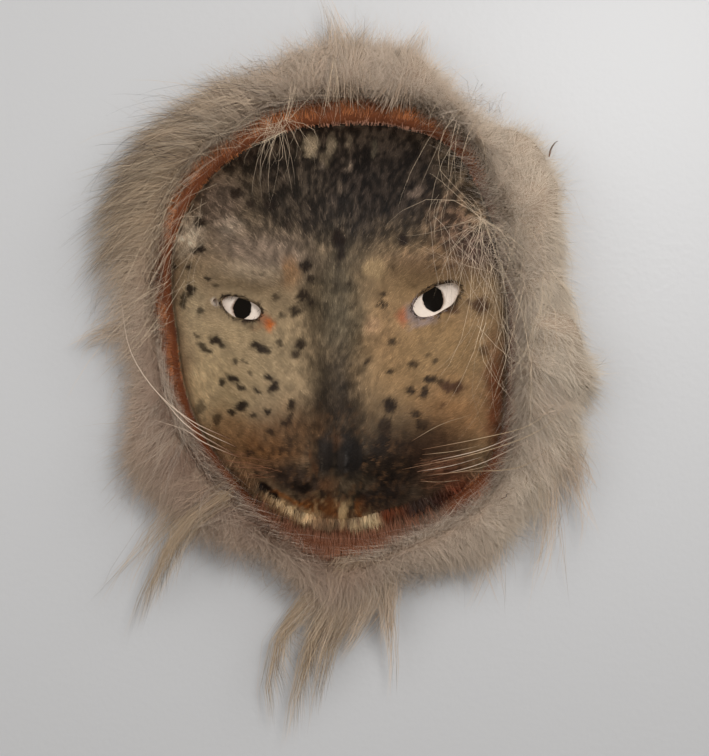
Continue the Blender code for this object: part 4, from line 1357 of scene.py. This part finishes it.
def wool_tones(rng, bearing, turn, unevenness):
    """Colours at three points of the wool's hairs: red beside the trim, browner and darker at the
    lower left, partly painted shade, and painted lighter at the right, where the light falls."""
    deep, mid, end = linear(RUFF_DEEP), linear(RUFF_MID), linear(RUFF_TIP)
    tone = np.stack([deep * 0.5 + mid * 0.5, mid, mid * 0.4 + end * 0.6])[None]
    patch = 1.0 + 0.09 * noise(bearing / 3.0, turn * 8.0, 141)
    patch = patch * np.exp(rng.normal(0, 1, len(bearing)) * (0.06 + 0.16 * unevenness))
    red = stretch("red_inner_wool", bearing) * np.clip(1.3 - 1.7 * turn, 0, 1)
    # Browner and darker at the lower left, partly painted shade; lighter at the right, painted
    # light
    brown_and_shade = stretch("brown_and_shaded_wool", bearing) * (1 - 0.5 * turn)
    for share, change in ((red, RED_LOSS), (-at_right(bearing), RIGHT_GLOW), (brown_and_shade, BROWN_AND_SHADE_LOSS)):
        tone = tone * (1 - share[:, None, None] * np.array(change))
    return tone * patch[:, None, None]


def finish_ruff(rng, name, paths, bearing, curl, tone, widths):
    """Curls the hairs, keeps them off the wall, and gives them the coat's soft shading."""
    t = np.array(HAIR_STEPS)[None, :, None]
    phase = rng.uniform(0, 6.28, (len(paths), 1, 3))
    waves = rng.uniform(5, 11, (len(paths), 1, 1))
    paths = paths + curl[:, None, None] * np.sqrt(t) * t * np.sin(phase + t * waves)
    off_wall(paths)
    lip = lip_at(bearing)
    core = at_rim(bearing, lip + 0.35 * (rim("reach", bearing) - lip), -3.0)
    soft = unit(paths - core[:, None])
    facing = rolled(soft[:, 2], paths[:, -1] - paths[:, 0], rng.normal(0, 0.6, len(paths)))
    soft = 0.85 * soft + 0.15 * facing[:, None] + 0.4 * AHEAD
    dress_hair(name, paths, widths, tone, facing, soft)


def ruff_locks(name, first, last, locks, seed):
    """The ruff's hairs between two bearings, gathered into locks whose tips draw together."""
    rng = np.random.default_rng(seed)
    per = max(int(LOCK_HAIRS * THIN_OUT), 4)
    bearing = rng.uniform(first, last, locks)
    layer = rng.uniform(0, 1, locks) ** 0.85
    lip, stand, wool = lip_at(bearing), rim("stand", bearing), rim("wool", bearing)
    dark_tips = rim("dark_tips", bearing)
    seat = (1 - layer) * rng.uniform(2, 22, locks) + rng.uniform(-1, 4, locks)
    length = rim("reach", bearing) - lip
    share = 1.04 - 0.34 * layer + rng.normal(0, 0.09, locks)
    end = lip + length * share * (1 + 0.05 * noise(bearing / 4.0, bearing * 0, 101))
    turn = bearing + rng.normal(0, 1, locks) * (2.5 + 4.0 * wool) - 16.0 * dark_tips
    stand_tip = stand * (0.10 + 0.55 * layer) + rng.normal(0, 2.5, locks)
    bend_at = lip + seat + 0.14 * length - rim("lap", bearing) * layer * 1.1
    droop = rim("droop", bearing) * rng.uniform(0.5, 1.2, locks)
    root = at_rim(bearing, lip + seat, -BACKING - 0.5)
    bend = at_rim(bearing, bend_at, -stand * (0.35 + 1.25 * layer))
    tip = at_rim(turn, end, -np.maximum(stand_tip, 2.0), droop)

    def spread(points, near):
        moved = np.repeat(points, per, axis=0)
        return moved + rng.normal(0, 1, moved.shape) * near

    woolly = np.repeat(wool, per)
    loose = (1.0 + 2.0 * woolly)[:, None]
    root = spread(root, np.array([3.6, 0.0, 3.6]))
    bend = spread(bend, np.array([3.4, 3.0, 3.4]) * loose)
    tip = spread(tip, np.array([2.4, 2.0, 2.4]) * loose)
    stray = rng.uniform(0, 1, len(tip)) < 0.08
    tip[stray] += rng.normal(0, 5.0, (stray.sum(), 3))
    reached = rng.uniform(0.52, 1.05, len(tip))
    far = rng.uniform(0, 1, len(tip)) < 0.02
    reached[far] *= 1.22
    tip = root + (tip - root) * reached[:, None]
    paths = bezier(root, bend, tip, HAIR_STEPS)
    curl = rng.uniform(0.3, 1.2, len(paths)) * (1.0 + 2.0 * woolly)
    tone = coat_colours(
        rng, locks, per, np.repeat(dark_tips, per), np.repeat(0.2 + layer * 0.6, per)
    )
    bearing = np.repeat(bearing, per)
    thin = stretch("airy", bearing)
    widths = 0.19 * rng.uniform(0.6, 1.15, len(paths)) * (1 - 0.35 * woolly) * (1 - 0.45 * thin)
    # Browner and darker at the lower left: partly the hair's brown, partly painted shade
    brown_and_shade = 0.6 * stretch("brown_and_shaded_wool", bearing)[:, None, None]
    tone = tone * (1 + 0.15 * thin)[:, None, None] * (1 - brown_and_shade * np.array(BROWN_AND_SHADE_LOSS))
    curl = curl * (1 + thin)
    kept = rng.uniform(0, 1, len(paths)) > 0.5 * thin
    finish_ruff(rng, name, *(part[kept] for part in (paths, bearing, curl, tone, widths)))


def build_inner_hair():
    """The ruff's inner hair, which spills over the trim and hangs down over the hide's edge."""
    rng = np.random.default_rng(51)
    bearing = rng.uniform(0, 360, int(INNER_HAIRS * 2.2))
    covered = rng.uniform(0, 15, len(bearing)) < rim("cover", bearing)
    bearing = bearing[covered][: int(INNER_HAIRS * THIN_OUT)]
    count = len(bearing)
    lip, right = lip_at(bearing), at_right(bearing)
    down = rng.uniform(0.2, 1.0, count)
    root = at_rim(bearing, lip + rng.uniform(0, 7, count), -BACKING - 0.5)
    high = np.maximum(rim("stand", bearing) * rng.uniform(0.25, 0.9, count), 16.0)
    bend = at_rim(bearing + rng.normal(0, 3.0, count), lip + 1.0, -high, 3 * right * down)
    turn = bearing + rng.normal(0, 9.0, count)
    inward = lip + 2 - (rim("cover", bearing) + 1) * rng.uniform(0.25, 1.1, count)
    tip = at_rim(turn, inward, -12.0, 18 * right * down)
    x, _, z = tip.T
    clear = np.where(beyond_hide(x, z), 13.0, face_height(x, z, fine=False) + 2.0)
    tip[:, 1] = -np.maximum(clear, high * 0.55) - rng.uniform(0, 5, count)
    paths = bezier(root, bend, tip, HAIR_STEPS)
    curl = rng.uniform(0.4, 2.2, count) * (1 + 1.2 * right)
    tone = coat_colours(rng, count, 1, rim("dark_tips", bearing) * 0.5, 1.0)
    tone = tone * (1 - 0.22 * right * rng.uniform(0, 1.6, count))[:, None, None]
    widths = 0.15 * rng.uniform(0.6, 1.2, count) * (1 - 0.45 * right)
    finish_ruff(rng, "ruff_inner_hair", paths, bearing, curl, tone, widths)


def build_tufts():
    """Tails that hang below the ruff, and tufts that stand out of it."""
    rng = np.random.default_rng(23)
    made = []
    t = np.array(HAIR_STEPS)[None, :, None]
    for root, middle, tip, wide, narrow, hairs, olive in TUFTS.values():
        count = int(hairs * THIN_OUT)
        strand = rng.integers(0, TAIL_STRANDS, count)
        ends = rng.normal(0, narrow, (TAIL_STRANDS, 3)) * [1, 0.5, 1]
        bends = rng.normal(0, wide * 0.5, (TAIL_STRANDS, 3)) * [1, 0.5, 0.6]
        scatter = rng.normal(0, 1, (count, 3))
        first = np.array(root) + scatter * [wide * 0.55, 3.0, wide * 0.35]
        bend = np.array(middle) + bends[strand] + scatter * [wide * 0.3, 2.5, wide * 0.2]
        last = np.array(tip) + ends[strand] * 1.6 + scatter * [1.2, 1.0, 2.0]
        reached = 1.03 - 0.68 * rng.uniform(0, 1, count)
        last = first + (last - first) * reached[:, None]
        paths = bezier(first, bend, last, HAIR_STEPS)
        phase = rng.uniform(0, 6.28, (count, 1, 3))
        paths += 0.9 * t * np.sin(phase + 8 * t)
        off_wall(paths)
        tone = coat_colours(rng, count, 1, np.full(count, olive), 0.6)
        away = np.broadcast_to([0.0, -1.0, 0.2], (count, 3))
        facing = rolled(away, last - first, rng.normal(0, 0.6, count))
        made.append((paths, 0.21 * rng.uniform(0.6, 1.15, count), tone, facing))
    paths, widths, tone, facing = (np.concatenate(part) for part in zip(*made))
    soft = np.repeat((facing + AHEAD + [0, 0, 0.3])[:, None], len(HAIR_STEPS), axis=1)
    dress_hair("ruff_tails", paths, widths, tone, facing, soft)


def lashes(rng, side, count):
    """Roots, tips and tones of the short dark hairs round an eye's opening."""
    loop = eye_loop(side)
    pick = rng.integers(0, len(loop), count)
    outward = unit(loop[pick] - loop.mean(axis=0))
    around = np.stack([-outward[:, 1], outward[:, 0]], axis=1) * rng.choice([-1, 1], (count, 1))
    root = loop[pick] + outward * rng.uniform(0.4, 1.6, (count, 1))
    way = outward * rng.normal(0.1, 0.5, (count, 1)) + around
    tip = root + way * rng.uniform(1.2, 2.6, (count, 1))
    tone = np.tile(linear(LID_BLACK), (count, 1)) * rng.uniform(0.7, 1.6, (count, 1))
    if side == "right":
        under = (outward[:, 1] < 0.1) & (outward[:, 0] < 0.6) & (rng.uniform(0, 1, count) < 0.7)
        tone[under] = linear(LASH_GREY) * rng.uniform(0.6, 1.1, (under.sum(), 1))
    root, tip = (xyz(x, -face_height(x, z) - 0.3, z) for x, z in (root.T, tip.T))
    tip[:, 1] -= rng.uniform(0.1, 0.8, count)
    return root, tip, tone


def chin_hair(rng, count):
    """Roots, tips and tones of the chin's hair, which hangs over the trim."""
    bearing = rng.normal(180, 15, count)
    radius = rim("hide", bearing) - rng.uniform(0.3, 9, count)
    low = (np.abs(bearing - 180) < 28) & (rim("hide", bearing) - radius < rng.uniform(0, 6, count))
    x, z = across(bearing, radius)
    root = xyz(x, -face_height(x, z), z)
    length = rng.uniform(3.0, 6.0, count) + 5.0 * low
    side = rng.normal(0, 0.22, count) + (x + 2) / 160
    tip = root + xyz(side * length, -rng.uniform(0.1, 0.5, count) * length, -length)
    x, y, z = tip.T
    clear = np.maximum(face_height(x, z) + 0.4, -y)
    tip[:, 1] = -np.where(beyond_hide(x, z), rng.uniform(11, 15, count), clear)
    x, y, z = (0.5 * root + 0.5 * tip).T
    tone = hide_colour(x, z, -y) * rng.uniform(0.8, 1.25, (count, 1))
    red = linear(CHIN_RED) * rng.uniform(0.6, 1.3, (count, 1))
    return root, tip, np.where(low[:, None], red, tone)


def build_edge_hair():
    """Lashes round the eyes' openings, and the chin's hair."""
    rng = np.random.default_rng(29)
    parts = [lashes(rng, side, count) for side, count in LASHES]
    parts.append(chin_hair(rng, int(CHIN_HAIRS * THIN_OUT)))
    roots, tips, tones = (np.concatenate(part) for part in zip(*parts))
    paths = bezier(roots, (roots + tips) / 2 + 0.5 * AHEAD, tips, (0.0, 0.5, 1.0))
    ahead = np.broadcast_to(AHEAD, roots.shape)
    facing = rolled(ahead, tips - roots, rng.normal(0, 0.4, len(roots)))
    tones = np.repeat(tones[:, None], 3, axis=1)
    hair = ribbons("lashes_and_chin_hair", paths, np.full(len(roots), 0.2), tones, facing)
    dress(hair, ["hide_hair"], "spotted_hide")


def build_strays():
    """Long loose guard hairs that lie over the face and the ruff."""
    rng = np.random.default_rng(31)
    made = []
    for root, middle, tip, stands, count, root_fan, fan, colour in STRAYS:
        start = rng.normal(0, 0.5 * root_fan, (2, count))
        end = start + rng.normal(0, 0.5 * fan, (2, count))
        half = (start + end) / 2 + rng.normal(0, 0.34 * fan, (2, count))
        points = []
        for (u, v), (du, dv), stand in zip((root, middle, tip), (start, half, end), stands):
            x, z = from_photo(u + du, v + dv, stand)
            points.append(xyz(x, -float(stand), z))
        paths = bezier(*points, HAIR_STEPS)
        reached = rng.uniform(0.45, 1.0, (count, 1, 1)) ** 0.6
        paths = paths[:, :1] + (paths - paths[:, :1]) * reached
        tone = np.broadcast_to(linear(colour), paths.shape)
        made.append((paths, tone * np.exp(rng.normal(0, 0.18, (count, 1, 1)))))
    paths, tones = (np.concatenate(part) for part in zip(*made))
    bearing, radius = polar(paths[:, 0, 0], paths[:, 0, 2])
    rooted = radius < rim("reach", bearing) * 0.9
    paths, tones = paths[rooted], tones[rooted]
    x, y, z = np.moveaxis(paths, 2, 0)
    clear = np.minimum(y, -face_height(x, z, fine=False) - 1.2)
    paths[:, :, 1] = np.where(beyond_hide(x, z), y, clear)
    facing = np.broadcast_to(AHEAD, (len(paths), 3))
    widths = 0.12 * rng.uniform(0.6, 1.3, len(paths))
    soft = np.repeat(facing[:, None], len(HAIR_STEPS), axis=1)
    dress_hair("stray_hairs", paths, widths, tones, facing, soft)


def tubes(name, lines, radii, tones, sides=6):
    """Round tapered strands as one mesh."""
    points, quads, tris, tint = [], [], [], []
    base = 0
    ring_turn = np.linspace(0, 2 * np.pi, sides, endpoint=False)[None, :, None]
    for line, radius, tone in zip(lines, radii, tones):
        rows = len(line)
        along = unit(np.gradient(line, axis=0))
        side = unit(np.cross(along, AHEAD))
        other = np.cross(along, side)
        share = np.linspace(0, 1, rows)
        size = 0.8 * radius * (1.0 - 0.85 * share**1.2) * np.clip(0.4 + 3 * share, 0, 1)
        circle = side[:, None] * np.cos(ring_turn) + other[:, None] * np.sin(ring_turn)
        points.append((line[:, None] + circle * size[:, None, None]).reshape(-1, 3))
        browned = toward(tone, WHISKER_BROWN, np.clip(1 - share / 0.3, 0, 0.8))
        tint.append(np.repeat(browned, sides, axis=0))
        quads.append(grid_faces(rows, sides, base=base))
        for ring, order in ((base, 1), (base + (rows - 1) * sides, -1)):
            for k in range(1, sides - 1):
                tris.append([ring, ring + k + 1, ring + k][::order])
        base += rows * sides
    faces = [np.concatenate(quads), np.array(tris)]
    return mesh_object(name, np.concatenate(points), faces, np.concatenate(tint))


def through(points, count=16):
    """Points along a smooth open curve through a few given ones."""
    p = np.array(points, float)
    ends = np.vstack([2 * p[0] - p[1], p, 2 * p[-1] - p[-2]])
    place = np.linspace(0, len(p) - 1 - 1e-6, count)
    first = np.floor(place).astype(int)
    return spline(*(ends[first + k] for k in range(4)), (place - first)[:, None])


def whisker_line(route):
    """A whisker's points: it grows out of the muzzle and sweeps back over the ruff."""
    x, z = on_face(*np.array(route[0], float))
    start = float(face_height(x, z))
    line = []
    for (u, v), share in zip(route, np.linspace(0, 1, len(route))):
        stand = start + 9.0 * math.sin(math.pi * min(share * 0.8, 1.0)) - 8.0 * share
        stand = max(stand, 34.0) if share > 0 else start - 1.0
        x, z = from_photo(u, v, stand)
        line.append((float(x), -stand, float(z)))
    return through(line)


def build_whiskers():
    """Stiff whiskers on both sides of the muzzle, and the dry stalks."""
    made = [(whisker_line(route), radius, linear(colour)) for route, radius, colour in WHISKERS]
    for route, radius, stand, colour in STALKS:
        x, z = from_photo(*np.array(route, float).T, stand)
        made.append((through(xyz(x, -stand, z)), radius, linear(colour)))
    dress(tubes("whiskers", *zip(*made)), ["whisker_bristle"], "ruff_fur")


def wall_paint_and_shadow():
    """Pale paint, painted dark as shadow where the mask covers it, and clear from behind, so that
    the mask's back can be looked at."""
    wall, nodes, links, shader = material("wall_paint_and_shadow")
    shader.inputs["Roughness"].default_value = 0.45
    where = add(nodes, "ShaderNodeNewGeometry")
    away = add(nodes, "ShaderNodeVectorMath", operation="DISTANCE")
    away.inputs[1].default_value = (0.0, 0.0, -CENTRE_DROP * MM)
    # Painted shadow within reach of the mask's centre, pale paint beyond
    cover = add(nodes, "ShaderNodeValToRGB")
    stops = ((PAINTED_SHADOW_WITHIN, WALL_PAINTED_SHADOW), (PALE_BEYOND, WALL_PALE))
    for stop, (position, colour) in zip(cover.color_ramp.elements, stops):
        stop.position, stop.color = position, colour
    links.new(where.outputs["Position"], away.inputs[0])
    links.new(away.outputs["Value"], cover.inputs["Fac"])
    links.new(cover.outputs["Color"], shader.inputs["Base Color"])
    peel = add(nodes, "ShaderNodeTexNoise", Scale=260.0, Detail=1.0)
    place = add(nodes, "ShaderNodeTexCoord")
    dents = add(nodes, "ShaderNodeBump", Strength=0.12, Distance=0.001)
    links.new(place.outputs["Object"], peel.inputs["Vector"])
    links.new(peel.outputs["Fac"], dents.inputs["Height"])
    links.new(dents.outputs["Normal"], shader.inputs["Normal"])
    clear = add(nodes, "ShaderNodeBsdfTransparent")
    choice = add(nodes, "ShaderNodeMixShader")
    links.new(where.outputs["Backfacing"], choice.inputs["Fac"])
    links.new(shader.outputs["BSDF"], choice.inputs[1])
    links.new(clear.outputs["BSDF"], choice.inputs[2])
    links.new(choice.outputs["Shader"], nodes["Material Output"].inputs["Surface"])
    return wall


def build_stage():
    """A pale wall and floor. The wall throws no light back and no shadow."""
    wall = wall_paint_and_shadow()
    for name, (location, turn) in STAGE.items():
        bpy.ops.mesh.primitive_plane_add(size=STAGE_SIZE, location=location, rotation=(turn, 0, 0))
        plane = bpy.context.object
        plane.name = name
        plane.data.materials.append(wall)
        plane.visible_diffuse = plane.visible_glossy = plane.visible_shadow = name == "floor"


def build_camera():
    """The camera at the photograph's place."""
    camera = bpy.data.cameras.new("camera")
    camera.sensor_width = SENSOR_MM
    camera.lens = SENSOR_MM * CAMERA_FAR / (PHOTO_HIGH * MM_PER_PX)
    camera.clip_start = 0.05
    holder = linked("camera", camera)
    holder.location = (CAMERA_X * MM, -CAMERA_FAR * MM, (CAMERA_Z - CENTRE_DROP) * MM)
    holder.rotation_euler = (math.radians(90), 0, 0)
    bpy.context.scene.camera = holder


def build_light():
    """Soft studio light."""
    for name, (place, target, size, power) in LAMPS.items():
        light = bpy.data.lights.new(name, "AREA")
        light.size, light.energy = size, power
        lamp = linked(name, light)
        lamp.location = place
        x, y, z = np.array(target) - np.array(place)
        lamp.rotation_euler = (math.atan2(math.hypot(x, y), -z), 0, -math.atan2(x, y))
    world = bpy.data.worlds.new("studio")
    world.use_nodes = True
    sky = world.node_tree.nodes["Background"]
    sky.inputs["Color"].default_value = SKY_COLOUR
    sky.inputs["Strength"].default_value = SKY_STRENGTH
    bpy.context.scene.world = world
    bpy.context.scene.view_settings.view_transform = "Standard"


build_stage()
build_camera()
build_light()
build_face()
for coat, row in FACE_COATS.items():
    build_face_hair(coat, *row)
for eye_side in EYES:
    build_eye_patch(eye_side)
build_trim_core()
build_trim_hair()
build_backing()
build_wool()
for quarter, (hairs, locks) in enumerate(RUFF_QUARTERS):
    span = (90.0 * quarter, 90.0 * quarter + 90.0)
    wool_hair(f"ruff_wool_hair_{quarter + 1}", *span, count=hairs, seed=60 + quarter)
    ruff_locks(f"ruff_hair_{quarter + 1}", *span, locks=locks, seed=40 + quarter)
build_inner_hair()
build_tufts()
build_edge_hair()
build_strays()
build_whiskers()
